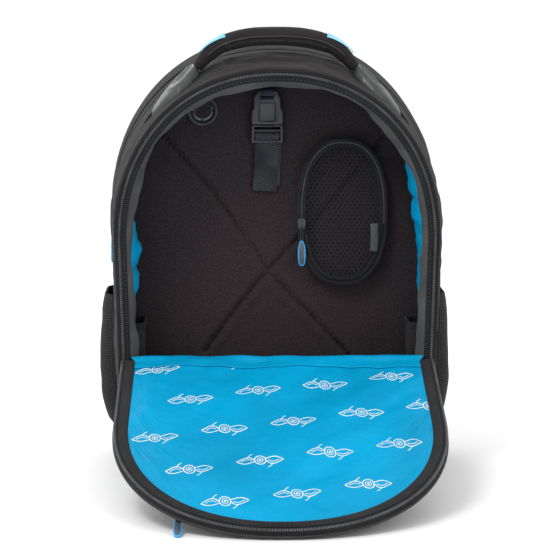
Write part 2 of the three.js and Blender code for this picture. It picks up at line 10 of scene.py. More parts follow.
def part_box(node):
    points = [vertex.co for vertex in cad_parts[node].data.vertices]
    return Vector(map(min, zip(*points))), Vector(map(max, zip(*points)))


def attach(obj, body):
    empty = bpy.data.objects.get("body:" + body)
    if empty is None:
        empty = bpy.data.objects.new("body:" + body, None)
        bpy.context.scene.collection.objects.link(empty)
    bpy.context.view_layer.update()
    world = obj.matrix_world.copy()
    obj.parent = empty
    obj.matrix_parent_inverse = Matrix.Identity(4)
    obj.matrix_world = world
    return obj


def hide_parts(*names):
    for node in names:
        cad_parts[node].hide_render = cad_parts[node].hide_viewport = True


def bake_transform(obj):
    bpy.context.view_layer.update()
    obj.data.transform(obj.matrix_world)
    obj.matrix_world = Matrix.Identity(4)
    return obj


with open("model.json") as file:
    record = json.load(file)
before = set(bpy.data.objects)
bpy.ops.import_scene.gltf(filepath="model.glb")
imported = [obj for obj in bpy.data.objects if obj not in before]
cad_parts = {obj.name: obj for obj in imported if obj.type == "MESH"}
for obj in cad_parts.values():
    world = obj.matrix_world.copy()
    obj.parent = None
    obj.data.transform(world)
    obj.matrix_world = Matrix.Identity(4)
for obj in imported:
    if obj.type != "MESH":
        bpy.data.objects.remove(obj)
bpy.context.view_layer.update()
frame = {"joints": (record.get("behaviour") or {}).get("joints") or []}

bpy.ops.object.select_all(action="DESELECT")
MM = 0.001
JOINTS = {j["name"]: j for j in frame["joints"]}


def low_high(node):
    lo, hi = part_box(node)
    return np.array(lo), np.array(hi)


# ---- Sizes of the bag, from the frame ----
WALL_LOW = low_high("main_gusset")[0]
RIM_LOW, RIM_HIGH = low_high("rim_zip_tape")
BACK_LOW, BACK_HIGH = low_high("back_panel")
DIVIDER_LOW, DIVIDER_HIGH = low_high("divider_panel")
RIM_Y = WALL_LOW[1]
DIVIDER_Y, REAR_Y = DIVIDER_LOW[1], DIVIDER_HIGH[1]
BACK_Y, BACK_FACE = BACK_LOW[1], BACK_HIGH[1]
RIM_HALF = RIM_HIGH[0] + 1 * MM
RIM_TOP = RIM_HIGH[2] + 1 * MM
FOLD_Z = RIM_LOW[2]
FOOT_Z = WALL_LOW[2]
WAIST = 230 * MM  # where the arched top begins
FOOT_HALF = 146 * MM
FOOT_CORNER = 30 * MM
ARCH_POWER = 2.15
WIDEN = (BACK_HIGH[0] / RIM_HALF - 1) / (BACK_FACE - RIM_Y)
RISE = (BACK_HIGH[2] / RIM_TOP - 1) / (BACK_FACE - RIM_Y)

FOLD_JOINT = JOINTS["front_panel_fold"]
HINGE = np.array(FOLD_JOINT["pos_m"])
OPEN = math.radians(FOLD_JOINT["range_deg"][1])


# ---- Small tools for points ----
def spread(p):
    """The body grows wider and taller from its front edge to its back."""
    p = np.array(p, float)
    back = np.maximum(0, p[..., 1] - RIM_Y)
    p[..., 0] *= 1 + WIDEN * back
    p[..., 2] *= 1 + RISE * back
    return p


def folded(p):
    """Points of the shut front panel, turned down about its fold."""
    p = np.array(p, float)
    y, z = p[..., 1].copy(), p[..., 2] - HINGE[2]
    p[..., 1] = HINGE[1] + y * math.cos(OPEN) - z * math.sin(OPEN)
    p[..., 2] = HINGE[2] + y * math.sin(OPEN) + z * math.cos(OPEN)
    return p


def ripple(p, size, seed=0.0):
    """Smooth noise, about -1 to 1, with humps of the given size (one number or one for each axis)."""
    q = np.asarray(p, float) / np.asarray(size, float)
    flat = [noise.noise(Vector((x + seed, y - seed, z + 2 * seed))) for x, y, z in q.reshape(-1, 3)]
    return np.array(flat).reshape(q.shape[:-1])


def even(points, count, closed=False):
    """A path again, with evenly spaced points."""
    points = np.asarray(points, float)
    if closed:
        points = np.vstack([points, points[:1]])
    along = np.concatenate([[0], np.cumsum(np.linalg.norm(np.diff(points, axis=0), axis=1))])
    at = np.linspace(0, along[-1], count + 1 if closed else count)
    out = np.stack([np.interp(at, along, points[:, k]) for k in range(points.shape[1])], axis=1)
    return out[:-1] if closed else out


def smooth(points, count, closed=False):
    """A curve through a few points, evenly sampled."""
    p = np.asarray(points, float)
    n = len(p)
    out = []
    for i in range(n if closed else n - 1):
        ids = [(i - 1) % n, i, (i + 1) % n, (i + 2) % n] if closed else [
            max(i - 1, 0), i, i + 1, min(i + 2, n - 1)]
        a, b, c, d = p[ids]
        for t in np.linspace(0, 1, 16, endpoint=False):
            out.append(0.5 * ((2 * b) + (c - a) * t + (2 * a - 5 * b + 4 * c - d) * t * t
                              + (3 * b - a - 3 * c + d) * t ** 3))
    if not closed:
        out.append(p[-1])
    return even(out, count, closed)


def outward(path, closed=False):
    """Unit normals of a path in x and z, to the right of its travel."""
    if closed:
        t = np.roll(path, -1, axis=0) - np.roll(path, 1, axis=0)
    else:
        t = np.gradient(path, axis=0)
    t /= np.linalg.norm(t, axis=1)[:, None]
    return np.stack([t[:, 1], -t[:, 0]], axis=1)


# ---- The outline of the bag in x and z ----
def curve_arc(cx, cz, rx, rz, start, end, steps, power=2.0):
    a = np.linspace(start, end, steps)
    bend = lambda v: np.sign(v) * np.abs(v) ** (2 / power)
    return np.stack([cx + rx * bend(np.cos(a)), cz + rz * bend(np.sin(a))], axis=1)


def arch_top():
    return curve_arc(0, WAIST, RIM_HALF, RIM_TOP - WAIST, 0, math.pi, 160, ARCH_POWER)


def side_x(z):
    corner = FOOT_Z + FOOT_CORNER
    return FOOT_HALF + (RIM_HALF - FOOT_HALF) * (z - corner) / (WAIST - corner)


def body_loop(count):
    """The whole outline and its normals, from the middle of the base to the right and round."""
    r, cx, cz = FOOT_CORNER, FOOT_HALF - FOOT_CORNER, FOOT_Z + FOOT_CORNER
    right = curve_arc(cx, cz, r, r, -math.pi / 2, 0, 20)
    left = curve_arc(-cx, cz, r, r, math.pi, 1.5 * math.pi, 20)
    path = even(np.vstack([[[0, FOOT_Z]], right, arch_top(), left]), count, closed=True)
    return path, outward(path, closed=True)


def arch_path(low, count):
    """The outline above a height, from the right side over the top to the left."""
    path = even(np.vstack([[[side_x(low), low]], arch_top(), [[-side_x(low), low]]]), count)
    return path, outward(path)


def arch_height(x, inset=0.0):
    """How high the arch is at an x."""
    half, rise = RIM_HALF - inset, RIM_TOP - WAIST - inset
    share = np.clip(1 - np.abs(x / half) ** ARCH_POWER, 0, 1)
    return WAIST + rise * share ** (1 / ARCH_POWER)


# ---- Making meshes ----
def mesh_object(name, verts, faces, uvs=None, smooth_shade=True):
    mesh = bpy.data.meshes.new(name)
    mesh.from_pydata([tuple(v) for v in np.asarray(verts, float).reshape(-1, 3)], [], faces)
    if uvs is not None:
        layer = mesh.uv_layers.new(name="cloth")
        layer.data.foreach_set("uv", np.asarray(uvs, np.float32).ravel())
    mesh.validate()
    obj = bpy.data.objects.new(name, mesh)
    bpy.context.collection.objects.link(obj)
    if smooth_shade:
        mesh.shade_smooth()
    return obj


def grid(name, p, close_u=False, close_v=False, cap=False):
    """A cloth of rows and columns of points, with its own length and width in metres as its UV map."""
    n, m = p.shape[:2]
    wrap_u = np.concatenate([p, p[:1]]) if close_u else p
    along = np.concatenate([[0], np.cumsum(np.linalg.norm(np.diff(wrap_u[:, m // 2], axis=0), axis=1))])
    wrap_v = np.concatenate([p, p[:, :1]], axis=1) if close_v else p
    across = np.concatenate([[0], np.cumsum(np.linalg.norm(np.diff(wrap_v[n // 2], axis=0), axis=1))])
    faces, uvs = [], []
    for i in range(n if close_u else n - 1):
        for j in range(m if close_v else m - 1):
            i2, j2 = (i + 1) % n, (j + 1) % m
            faces.append((i * m + j, i2 * m + j, i2 * m + j2, i * m + j2))
            uvs += [(along[i], across[j]), (along[i + 1], across[j]),
                    (along[i + 1], across[j + 1]), (along[i], across[j + 1])]
    if cap:
        for row, turn in ((0, 1), (n - 1, -1)):
            ring = [row * m + j for j in range(m)][::turn]
            faces.append(tuple(ring))
            uvs += [(along[row], across[j]) for j in range(m)][::turn]
    return mesh_object(name, p, faces, uvs)


def settle(obj, outward_faces=True):
    """Welds and turns the faces of a closed piece outward."""
    bm = bmesh.new()
    bm.from_mesh(obj.data)
    bmesh.ops.remove_doubles(bm, verts=bm.verts, dist=0.01 * MM)
    if outward_faces:
        bmesh.ops.recalc_face_normals(bm, faces=bm.faces)
    bm.to_mesh(obj.data)
    bm.free()
    return obj


def use(obj):
    bpy.ops.object.select_all(action="DESELECT")
    obj.select_set(True)
    bpy.context.view_layer.objects.active = obj


def modify(obj, kind, **values):
    """Adds a modifier, gives it its values and applies it."""
    use(obj)
    mod = obj.modifiers.new(kind.lower(), kind)
    for key, value in values.items():
        setattr(mod, key, value)
    bpy.ops.object.modifier_apply(modifier=mod.name)
    return obj


def thicken(obj, thickness, offset=-1.0):
    return modify(obj, "SOLIDIFY", thickness=thickness, offset=offset, use_even_offset=False)


def strip_points(path, normals, section):
    """An open strip of (y, inset) pairs carried along the outline, as points."""
    section = np.asarray(section, float)
    p = np.zeros((len(path), len(section), 3))
    p[..., [0, 2]] = path[:, None, :] - section[None, :, 1:2] * normals[:, None, :]
    p[..., 1] = section[None, :, 0]
    return p


def band(name, path, normals, section, closed=False, place=spread):
    """A closed section of (y, inset) pairs carried along the outline."""
    p = place(strip_points(path, normals, section))
    return settle(grid(name, p, close_u=closed, close_v=True, cap=not closed))


def frames(points, closed=False, hint=None):
    """Tangent, side and up at each point of a path in space."""
    points = np.asarray(points, float)
    t = (np.roll(points, -1, 0) - np.roll(points, 1, 0)) if closed else np.gradient(points, axis=0)
    t /= np.linalg.norm(t, axis=1)[:, None]
    if hint is not None:
        h = np.broadcast_to(np.asarray(hint, float), points.shape)
        side = np.cross(h, t)
        side /= np.linalg.norm(side, axis=1)[:, None]
        return t, side, np.cross(t, side)
    ups = [np.cross(t[0], [0.3, 0.9, 0.2])]
    ups[0] /= np.linalg.norm(ups[0])
    for i in range(1, len(points)):
        u = ups[-1] - t[i] * np.dot(ups[-1], t[i])
        ups.append(u / np.linalg.norm(u))
    up = np.array(ups)
    return t, np.cross(up, t), up


def rod(name, points, wide, high=None, sides=10, closed=False, hint=None):
    """A round or flat-oval cord along a path."""
    points = np.asarray(points, float)
    high = wide if high is None else high
    _, side, up = frames(points, closed, hint)
    a = np.linspace(0, 2 * math.pi, sides, endpoint=False)
    ring = (side[:, None] * (np.cos(a) * wide / 2)[None, :, None]
            + up[:, None] * (np.sin(a) * high / 2)[None, :, None])
    p = points[:, None] + ring
    return settle(grid(name, p, close_u=closed, close_v=True, cap=not closed))


def strap(name, points, wide, thick, hint):
    """Flat webbing along a path, with rounded edges."""
    w, t = wide / 2, thick / 2
    e = 0.35 * thick  # the rounding of its edges
    section = np.array([(-w, -t + e), (-w + e, -t), (-w / 3, -t), (w / 3, -t), (w - e, -t), (w, -t + e),
                        (w, t - e), (w - e, t), (w / 3, t), (-w / 3, t), (-w + e, t), (-w, t - e)])
    points = np.asarray(points, float)
    _, side, up = frames(points, hint=hint)
    p = points[:, None] + side[:, None] * section[None, :, :1] + up[:, None] * section[None, :, 1:]
    return settle(grid(name, p, close_v=True, cap=True))


def places(points, hint, count):
    """Evenly spaced places on a path, each with its tangent, side and up."""
    both = even(np.hstack([points, hint * MM]), count)
    return (both[:, :3], *frames(both[:, :3], hint=both[:, 3:]))


def repeat(name, origins, t, side, up, verts, faces):
    """Copies of one small solid at each place of a path, as one piece."""
    verts = np.asarray(verts, float)
    all_verts = (origins[:, None] + t[:, None] * verts[None, :, :1] + side[:, None] * verts[None, :, 1:2]
                 + up[:, None] * verts[None, :, 2:])
    step = len(verts)
    all_faces = [tuple(k * step + v for v in f) for k in range(len(origins)) for f in faces]
    return mesh_object(name, all_verts, all_faces, smooth_shade=False)


BOX_FACES = [(0, 3, 2, 1), (4, 5, 6, 7), (0, 1, 5, 4), (1, 2, 6, 5), (2, 3, 7, 6), (3, 0, 4, 7)]


def block_verts(length, wide, high):
    """A small tooth: a block whose upper face is smaller."""
    l, w, top = length / 2, wide / 2, 0.6
    low = [(-l, -w, 0), (l, -w, 0), (l, w, 0), (-l, w, 0)]
    upper = [(-l * top, -w * top, high), (l * top, -w * top, high), (l * top, w * top, high),
             (-l * top, w * top, high)]
    return low + upper


STITCH_FACES = [(0, 2, 1), (0, 3, 2), (1, 2, 5, 4), (2, 3, 6, 5), (4, 5, 7), (5, 6, 7), (0, 1, 4, 7),
                (0, 7, 6, 3)]


def stitch_verts(length, thick):
    """One stitch, its length and thickness in mm, with its ends in the cloth."""
    l, w = length * MM / 2, thick * MM / 2
    return [(-l, 0, -w), (-l * 0.5, -w, 0), (-l * 0.5, 0, w), (-l * 0.5, w, 0),
            (l * 0.5, -w, 0), (l * 0.5, 0, w), (l * 0.5, w, 0), (l, 0, -w)]


def stitches(name, points, hint, finish, body, length=2.6, gap=1.4, thick=0.5, closed=False):
    """A row of sewn thread along a path."""
    points = np.asarray(points, float)
    ring = np.vstack([points, points[:1]]) if closed else points
    total = np.linalg.norm(np.diff(ring, axis=0), axis=1).sum()
    count = max(2, int(total / ((length + gap) * MM)))
    at = even(points, count, closed)
    t, side, up = frames(at, closed, hint)
    row = repeat(name, at, t, side, up, stitch_verts(length, thick), STITCH_FACES)
    return finish_piece(row, finish, body)


def finish_piece(obj, finish, body, replaces=()):
    obj.data.materials.clear()
    obj.data.materials.append(finish)
    if body:
        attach(obj, body)
    if replaces:
        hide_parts(*replaces)
    return obj


# ---- Materials ----
def rgb(code):
    v = [int(code[i:i + 2], 16) / 255 for i in (0, 2, 4)]
    return [c / 12.92 if c <= 0.04045 else ((c + 0.055) / 1.055) ** 2.4 for c in v] + [1.0]


def new_group(name, inputs, outputs):
    group = bpy.data.node_groups.new(name, "ShaderNodeTree")
    for label, kind, value in inputs:
        socket = group.interface.new_socket(name=label, in_out="INPUT", socket_type=kind)
        if value is not None:
            socket.default_value = value
    for label, kind in outputs:
        group.interface.new_socket(name=label, in_out="OUTPUT", socket_type=kind)
    return group, group.nodes.new("NodeGroupInput"), group.nodes.new("NodeGroupOutput")


def math_node(tree, operation, a, b=None):
    node = tree.nodes.new("ShaderNodeMath")
    node.operation = operation
    for k, value in enumerate((a, b)):
        if value is None:
            continue
        if isinstance(value, (int, float)):
            node.inputs[k].default_value = value
        else:
            tree.links.new(value, node.inputs[k])
    return node.outputs[0]


def build_weave_group():
    """Threads over and under each other: a height, and a mask that is 1 on the warp."""
    group, gin, gout = new_group(
        "woven threads",
        [("Vector", "NodeSocketVector", None), ("Threads per metre", "NodeSocketFloat", 1500.0)],
        [("Height", "NodeSocketFloat"), ("Warp", "NodeSocketFloat")])
    scaled = group.nodes.new("ShaderNodeVectorMath")
    scaled.operation = "SCALE"
    group.links.new(gin.outputs["Vector"], scaled.inputs[0])
    group.links.new(gin.outputs["Threads per metre"], scaled.inputs["Scale"])
    split = group.nodes.new("ShaderNodeSeparateXYZ")
    group.links.new(scaled.outputs[0], split.inputs[0])
    waves = []
    for axis in range(2):
        turn = math_node(group, "MULTIPLY", split.outputs[axis], math.pi)
        waves.append(math_node(group, "SINE", turn))
    product = math_node(group, "MULTIPLY", waves[0], waves[1])
    over = math_node(group, "GREATER_THAN", product, 0.0)
    first = math_node(group, "ABSOLUTE", waves[0])
    second = math_node(group, "ABSOLUTE", waves[1])
    mix = group.nodes.new("ShaderNodeMix")
    group.links.new(over, mix.inputs["Factor"])
    group.links.new(first, mix.inputs["A"])
    group.links.new(second, mix.inputs["B"])
    group.links.new(mix.outputs["Result"], gout.inputs["Height"])
    group.links.new(over, gout.inputs["Warp"])
    return group


def build_rib_group():
    """Slanting ribs, as on webbing and zip tape."""
    group, gin, gout = new_group(
        "slanting ribs",
        [("Vector", "NodeSocketVector", None), ("Ribs per metre", "NodeSocketFloat", 700.0),
         ("Slant", "NodeSocketFloat", 0.6)],
        [("Height", "NodeSocketFloat")])
    split = group.nodes.new("ShaderNodeSeparateXYZ")
    group.links.new(gin.outputs["Vector"], split.inputs[0])
    lean = math_node(group, "MULTIPLY", split.outputs[1], gin.outputs["Slant"])
    both = math_node(group, "ADD", split.outputs[0], lean)
    turns = math_node(group, "MULTIPLY", both, gin.outputs["Ribs per metre"])
    wave = math_node(group, "SINE", math_node(group, "MULTIPLY", turns, 2 * math.pi))
    group.links.new(math_node(group, "ADD", math_node(group, "MULTIPLY", wave, 0.5), 0.5),
                    gout.inputs["Height"])
    return group


def build_fleck_group():
    """Uneven dye and dust: a broad cloudy mask and a fine speckle."""
    group, gin, gout = new_group(
        "dye and dust",
        [("Vector", "NodeSocketVector", None), ("Cloud scale", "NodeSocketFloat", 14.0),
         ("Fleck scale", "NodeSocketFloat", 900.0)],
        [("Cloud", "NodeSocketFloat"), ("Fleck", "NodeSocketFloat")])
    for label, detail, out in (("Cloud scale", 4.0, "Cloud"), ("Fleck scale", 2.0, "Fleck")):
        tex = group.nodes.new("ShaderNodeTexNoise")
        tex.inputs["Detail"].default_value = detail
        group.links.new(gin.outputs["Vector"], tex.inputs["Vector"])
        group.links.new(gin.outputs[label], tex.inputs["Scale"])
        group.links.new(tex.outputs[0], gout.inputs[out])
    return group


def build_hole_group():
    """Round holes of a knitted spacer mesh, on a slightly jittered grid."""
    group, gin, gout = new_group(
        "mesh holes",
        [("Vector", "NodeSocketVector", None), ("Holes per metre", "NodeSocketFloat", 300.0)],
        [("Hole", "NodeSocketFloat")])
    tex = group.nodes.new("ShaderNodeTexVoronoi")
    tex.inputs["Randomness"].default_value = 0.12
    group.links.new(gin.outputs["Vector"], tex.inputs["Vector"])
    group.links.new(gin.outputs["Holes per metre"], tex.inputs["Scale"])
    ramp = group.nodes.new("ShaderNodeMapRange")
    ramp.inputs["From Min"].default_value = 0.25
    ramp.inputs["From Max"].default_value = 0.42
    group.links.new(tex.outputs["Distance"], ramp.inputs["Value"])
    group.links.new(ramp.outputs["Result"], gout.inputs["Hole"])
    return group


WEAVE = build_weave_group()
RIBS = build_rib_group()
FLECK = build_fleck_group()
HOLES = build_hole_group()


class Finish:
    """One material with its shader, its coordinates and small helpers."""

    def __init__(self, name, rough, coords="cloth", metallic=0.0, sheen=0.0, coat=0.0, spec=0.5):
        self.material = bpy.data.materials.new(name)
        self.material.use_nodes = True
        self.tree = self.material.node_tree
        self.shader = self.tree.nodes["Principled BSDF"]
        self.shader.inputs["Roughness"].default_value = rough
        self.shader.inputs["Metallic"].default_value = metallic
        self.shader.inputs["Sheen Weight"].default_value = sheen
        self.shader.inputs["Coat Weight"].default_value = coat
        self.shader.inputs["Specular IOR Level"].default_value = spec
        if coords == "cloth":
            node = self.tree.nodes.new("ShaderNodeUVMap")
            node.uv_map = "cloth"
            self.vector = node.outputs["UV"]
        else:
            self.vector = self.tree.nodes.new("ShaderNodeTexCoord").outputs["Object"]

    def group(self, tree, **values):
        node = self.tree.nodes.new("ShaderNodeGroup")
        node.node_tree = tree
        self.tree.links.new(self.vector, node.inputs["Vector"])
        for key, value in values.items():
            node.inputs[key.replace("_", " ")].default_value = value
        return node

    def blend_colour(self, factor, a, b):
        mix = self.tree.nodes.new("ShaderNodeMix")
        mix.data_type = "RGBA"
        self.tree.links.new(factor, mix.inputs["Factor"])
        for socket, value in ((mix.inputs[6], a), (mix.inputs[7], b)):
            if isinstance(value, str):
                socket.default_value = rgb(value)
            else:
                self.tree.links.new(value, socket)
        return mix.outputs[2]

    def remap(self, value, low, high, to_low=0.0, to_high=1.0):
        node = self.tree.nodes.new("ShaderNodeMapRange")
        self.tree.links.new(value, node.inputs["Value"])
        for label, number in (("From Min", low), ("From Max", high), ("To Min", to_low), ("To Max", to_high)):
            node.inputs[label].default_value = number
        return node.outputs["Result"]

    def colour(self, value):
        self.tree.links.new(value, self.shader.inputs["Base Color"])

    def rough(self, value):
        self.tree.links.new(value, self.shader.inputs["Roughness"])

    def bump(self, height, distance, strength=1.0, under=None):
        node = self.tree.nodes.new("ShaderNodeBump")
        node.inputs["Distance"].default_value = distance
        node.inputs["Strength"].default_value = strength
        self.tree.links.new(height, node.inputs["Height"])
        if under is not None:
            self.tree.links.new(under, node.inputs["Normal"])
        self.tree.links.new(node.outputs["Normal"], self.shader.inputs["Normal"])
        return node.outputs["Normal"]


def woven_cloth(name, dark, light, threads=1400.0, rough=0.9, sheen=0.15, bump=0.15, cloud=14.0,
                coords="cloth", contrast=1.0, spec=0.16, crease=5.0):
    """Cloth with its threads, uneven dye, painted shade in the gaps between the threads, and creases."""
    f = Finish(name, rough, coords, sheen=sheen, spec=spec)
    weave = f.group(WEAVE, Threads_per_metre=threads)
    fleck = f.group(FLECK, Cloud_scale=cloud, Fleck_scale=threads * 0.6)
    tone = f.remap(fleck.outputs["Cloud"], 0.3, 0.7, 0.5 - 0.5 * contrast, 0.5 + 0.5 * contrast)
    base = f.blend_colour(tone, dark, light)
    # Painted shade: the colour is darkened towards the dark tone in the gaps between the threads, where the
    # weave is lowest.
    thread_gap_shade = f.remap(weave.outputs["Height"], 0.0, 1.0, 0.35, 0.0)
    shaded = f.blend_colour(thread_gap_shade, base, dark)
    f.colour(shaded)
    f.rough(f.remap(fleck.outputs["Fleck"], 0.3, 0.7, rough - 0.06, min(1.0, rough + 0.06)))
    crumple = f.group(FLECK, Cloud_scale=cloud * 3.2, Fleck_scale=cloud * 9)
    creased = f.bump(crumple.outputs["Cloud"], crease * MM, 0.6)
    soft = f.bump(crumple.outputs["Fleck"], 0.3 * crease * MM, 0.5, creased)
    f.bump(weave.outputs["Height"], bump * MM, 0.6, soft)
    return f.material


def heather_cloth(name, dark, light):
    """Soft looped fabric flecked with lighter fibres."""
    f = Finish(name, 0.95, sheen=0.12, spec=0.1)
    fleck = f.group(FLECK, Cloud_scale=30.0, Fleck_scale=1300.0)
    coarse = f.group(FLECK, Cloud_scale=420.0, Fleck_scale=520.0)
    fibres = f.remap(fleck.outputs["Fleck"], 0.35, 0.7)
    first = f.blend_colour(fibres, dark, light)
    f.colour(f.blend_colour(f.remap(coarse.outputs["Cloud"], 0.35, 0.75, 0.0, 0.6), first, dark))
    soft = f.bump(coarse.outputs["Fleck"], 0.5 * MM, 0.5)
    f.bump(fleck.outputs["Fleck"], 0.2 * MM, 0.6, soft)
    return f.material


def ribbed_webbing(name, dark, light, ribs=900.0, slant=0.7, rough=0.8, coords="cloth"):
    """Webbing, binding or tape with slanting ribs, and painted shade in the grooves between the ribs."""
    f = Finish(name, rough, coords, sheen=0.05, spec=0.2)
    rib = f.group(RIBS, Ribs_per_metre=ribs, Slant=slant)
    fleck = f.group(FLECK, Cloud_scale=30.0, Fleck_scale=1200.0)
    base = f.blend_colour(f.remap(fleck.outputs["Cloud"], 0.3, 0.7), dark, light)
    # Painted shade: the colour is darkened towards the dark tone in the grooves between the ribs.
    f.colour(f.blend_colour(f.remap(rib.outputs["Height"], 0.0, 0.6, 0.8, 0.0), base, dark))
    f.rough(f.remap(fleck.outputs["Fleck"], 0.3, 0.7, rough - 0.08, rough + 0.08))
    soft = f.bump(fleck.outputs["Fleck"], 0.1 * MM, 0.5)
    f.bump(rib.outputs["Height"], 0.6 * MM, 0.9, soft)
    return f.material


def open_mesh(name, dark, light, holes):
    """Knitted spacer mesh whose holes are painted near-black: the layer under it, darkened with painted
    shade.
    """
    f = Finish(name, 0.85, sheen=0.05, spec=0.2)
    hole = f.group(HOLES, Holes_per_metre=holes)
    fleck = f.group(FLECK, Cloud_scale=20.0, Fleck_scale=1500.0)
    yarn = f.blend_colour(f.remap(fleck.outputs["Fleck"], 0.3, 0.7), dark, light)
    # Painted shade: the holes are coloured near-black for the shaded layer seen through them.
    f.colour(f.blend_colour(hole.outputs["Hole"], "060607", yarn))
    soft = f.bump(fleck.outputs["Fleck"], 0.1 * MM, 0.5)
    f.bump(hole.outputs["Hole"], 0.9 * MM, 1.0, soft)
    return f.material


def moulded(name, dark, light, rough, grain=700.0, coat=0.0, metallic=0.0, wear_and_highlight="8a8a88"):
    """Moulded plastic or rubber with a fine spark-eroded grain and paler spots: handled wear, and on the port
    rubber a painted highlight.
    """
    f = Finish(name, rough, "object", metallic=metallic, coat=coat)
    fleck = f.group(FLECK, Cloud_scale=45.0, Fleck_scale=grain)
    base = f.blend_colour(f.remap(fleck.outputs["Cloud"], 0.3, 0.7), dark, light)
    # Paler spots towards the given pale colour: handled wear on most parts, a painted highlight on the port
    # rubber.
    rubbed = f.group(FLECK, Cloud_scale=160.0, Fleck_scale=300.0)
    f.colour(f.blend_colour(f.remap(rubbed.outputs["Cloud"], 0.66, 0.8, 0.0, 0.25), base, wear_and_highlight))
    f.rough(f.remap(fleck.outputs["Fleck"], 0.3, 0.7, max(0.05, rough - 0.1), min(1.0, rough + 0.1)))
    f.bump(fleck.outputs["Fleck"], 0.06 * MM, 0.6)
    return f.material


SHELL = woven_cloth("charcoal polyester", "1c1a1b", "2f2c2d", 1300.0, 0.85, 0.04, contrast=0.6)
SHELL_PLAIN = woven_cloth("charcoal polyester panels", "1c1a1b", "2f2c2d", 1300.0, 0.85, 0.04,
                          coords="object", contrast=0.6)
DIVIDER_CLOTH = heather_cloth("brown-black looped fabric", "1a1516", "483e41")
BLUE_NYLON = woven_cloth("blue satin nylon", "0088b4", "00a2d2", 2600.0, 0.42, 0.0, 0.05, 9.0, spec=0.12,
                          crease=4.0)
RIM_BINDING = ribbed_webbing("grey elastic binding", "474645", "6e6b69", 1100.0, 0.0, 0.85)
DARK_BINDING = ribbed_webbing("dark folded binding", "17181a", "2c2d2f", 1000.0, 0.0, 0.8)
WEBBING = ribbed_webbing("grey webbing", "1f2023", "515256", 430.0, 0.35)
ZIP_TAPE = ribbed_webbing("zip tape", "161617", "2a2a2c", 1500.0, 0.0, 0.75)
PIPING = moulded("black piping", "121213", "222224", 0.6, 900.0)
TEETH = moulded("zip teeth", "3c3d40", "606165", 0.35, 1200.0, coat=0.2)
BRIGHT_TEETH = moulded("rubbed zip teeth", "6d6d6f", "9b9b9c", 0.3, 1200.0, metallic=0.6)
NET = ribbed_webbing("pouch net yarn", "1b1b1c", "37373a", 2200.0, 0.5, 0.7)
SPACER_MESH = open_mesh("knitted side mesh", "1d1c1d", "3c3a3b", 400.0)
POCKET_MESH = open_mesh("elastic pocket mesh", "151516", "39393b", 420.0)
BUCKLE = moulded("dark acetal", "232527", "38393c", 0.42, 900.0, wear_and_highlight="6f7173")
RUBBER = moulded("grey moulded rubber", "232a29", "39413f", 0.5, 600.0, coat=0.1, wear_and_highlight="5f6866")
RUBBER_DARK = moulded("black moulded rubber", "101213", "24282b", 0.4, 600.0)
ACCENT = moulded("pale blue coated strip", "58b0cf", "8ecbe0", 0.5, 500.0, wear_and_highlight="b5e2f2")
METAL = moulded("dark enamelled metal", "2a2c2f", "45484c", 0.32, 900.0, coat=0.3, metallic=0.7,
                wear_and_highlight="9a9ca0")
PULL_BLUE = moulded("bright blue rubber", "0f86c9", "27a8e6", 0.42, 500.0, wear_and_highlight="7fcdf2")
PULL_GREY = moulded("grey rubber inlay", "3b4044", "565c61", 0.5, 600.0)
# The pale blue-grey spots of the port rubber are a painted highlight.
PORT_RUBBER = moulded("glossy port rubber", "10161c", "26323e", 0.2, 500.0, coat=0.7, wear_and_highlight="8fa6b8")
TAG_RUBBER = moulded("dark rubber tag", "2c3136", "3f454b", 0.5, 600.0)
THREAD = ribbed_webbing("sewing thread", "3a3a3b", "5a5a5a", 3000.0, 0.5, 0.8, coords="object")
THREAD_DARK = ribbed_webbing("dark sewing thread", "171718", "2b2b2c", 3000.0, 0.5, 0.8, coords="object")
PRINT = woven_cloth("white print", "d8e6ee", "f6fbff", 2600.0, 0.5, 0.0, 0.05, 30.0, coords="object")


# ---- Camera, floor and light ----
def make_stage():
    bpy.ops.mesh.primitive_plane_add(size=14)
    floor = bpy.context.object
    floor.name = "floor"
    pale = Finish("pale floor", 0.7, "object")
    fleck = pale.group(FLECK, Cloud_scale=0.8, Fleck_scale=300.0)
    pale.colour(pale.blend_colour(fleck.outputs["Cloud"], "f8f8f8", "fdfdfd"))
    floor.data.materials.append(pale.material)
    world = bpy.data.worlds.new("studio")
    bpy.context.scene.world = world
    world.use_nodes = True
    world.node_tree.nodes["Background"].inputs["Color"].default_value = (1, 1, 1, 1)
    world.node_tree.nodes["Background"].inputs["Strength"].default_value = 1.04
    aim = Vector((0, -0.05, 0.2))
    for name, place, size, watts in (
        ("key light", (-0.9, -1.6, 2.1), 0.7, 26),
        ("fill light", (1.6, -1.7, 0.9), 1.4, 6),
        ("back light", (-0.6, 2.0, 1.5), 1.4, 12),
    ):
        data = bpy.data.lights.new(name, "AREA")
        data.size, data.energy = size, watts
        lamp = bpy.data.objects.new(name, data)
        bpy.context.collection.objects.link(lamp)
        lamp.location = place
        lamp.rotation_mode = "QUATERNION"
        lamp.rotation_quaternion = (aim - Vector(place)).to_track_quat("-Z", "Y")


def make_camera():
    data = bpy.data.cameras.new("camera")
    data.sensor_width, data.lens = 36.0, 148.5
    camera = bpy.data.objects.new("camera", data)
    bpy.context.collection.objects.link(camera)
    azimuth, elevation, distance = math.radians(-1.5), math.radians(7.0), 2.2
    target = Vector((0.0024, RIM_Y, 0.193))
    back = Vector((math.sin(azimuth) * math.cos(elevation), -math.cos(azimuth) * math.cos(elevation),
                   math.sin(elevation)))
    camera.location = target + back * distance
    camera.rotation_mode = "QUATERNION"
    camera.rotation_quaternion = (-back).to_track_quat("-Z", "Y")
    bpy.context.scene.camera = camera
    bpy.context.scene.view_settings.view_transform = "Standard"


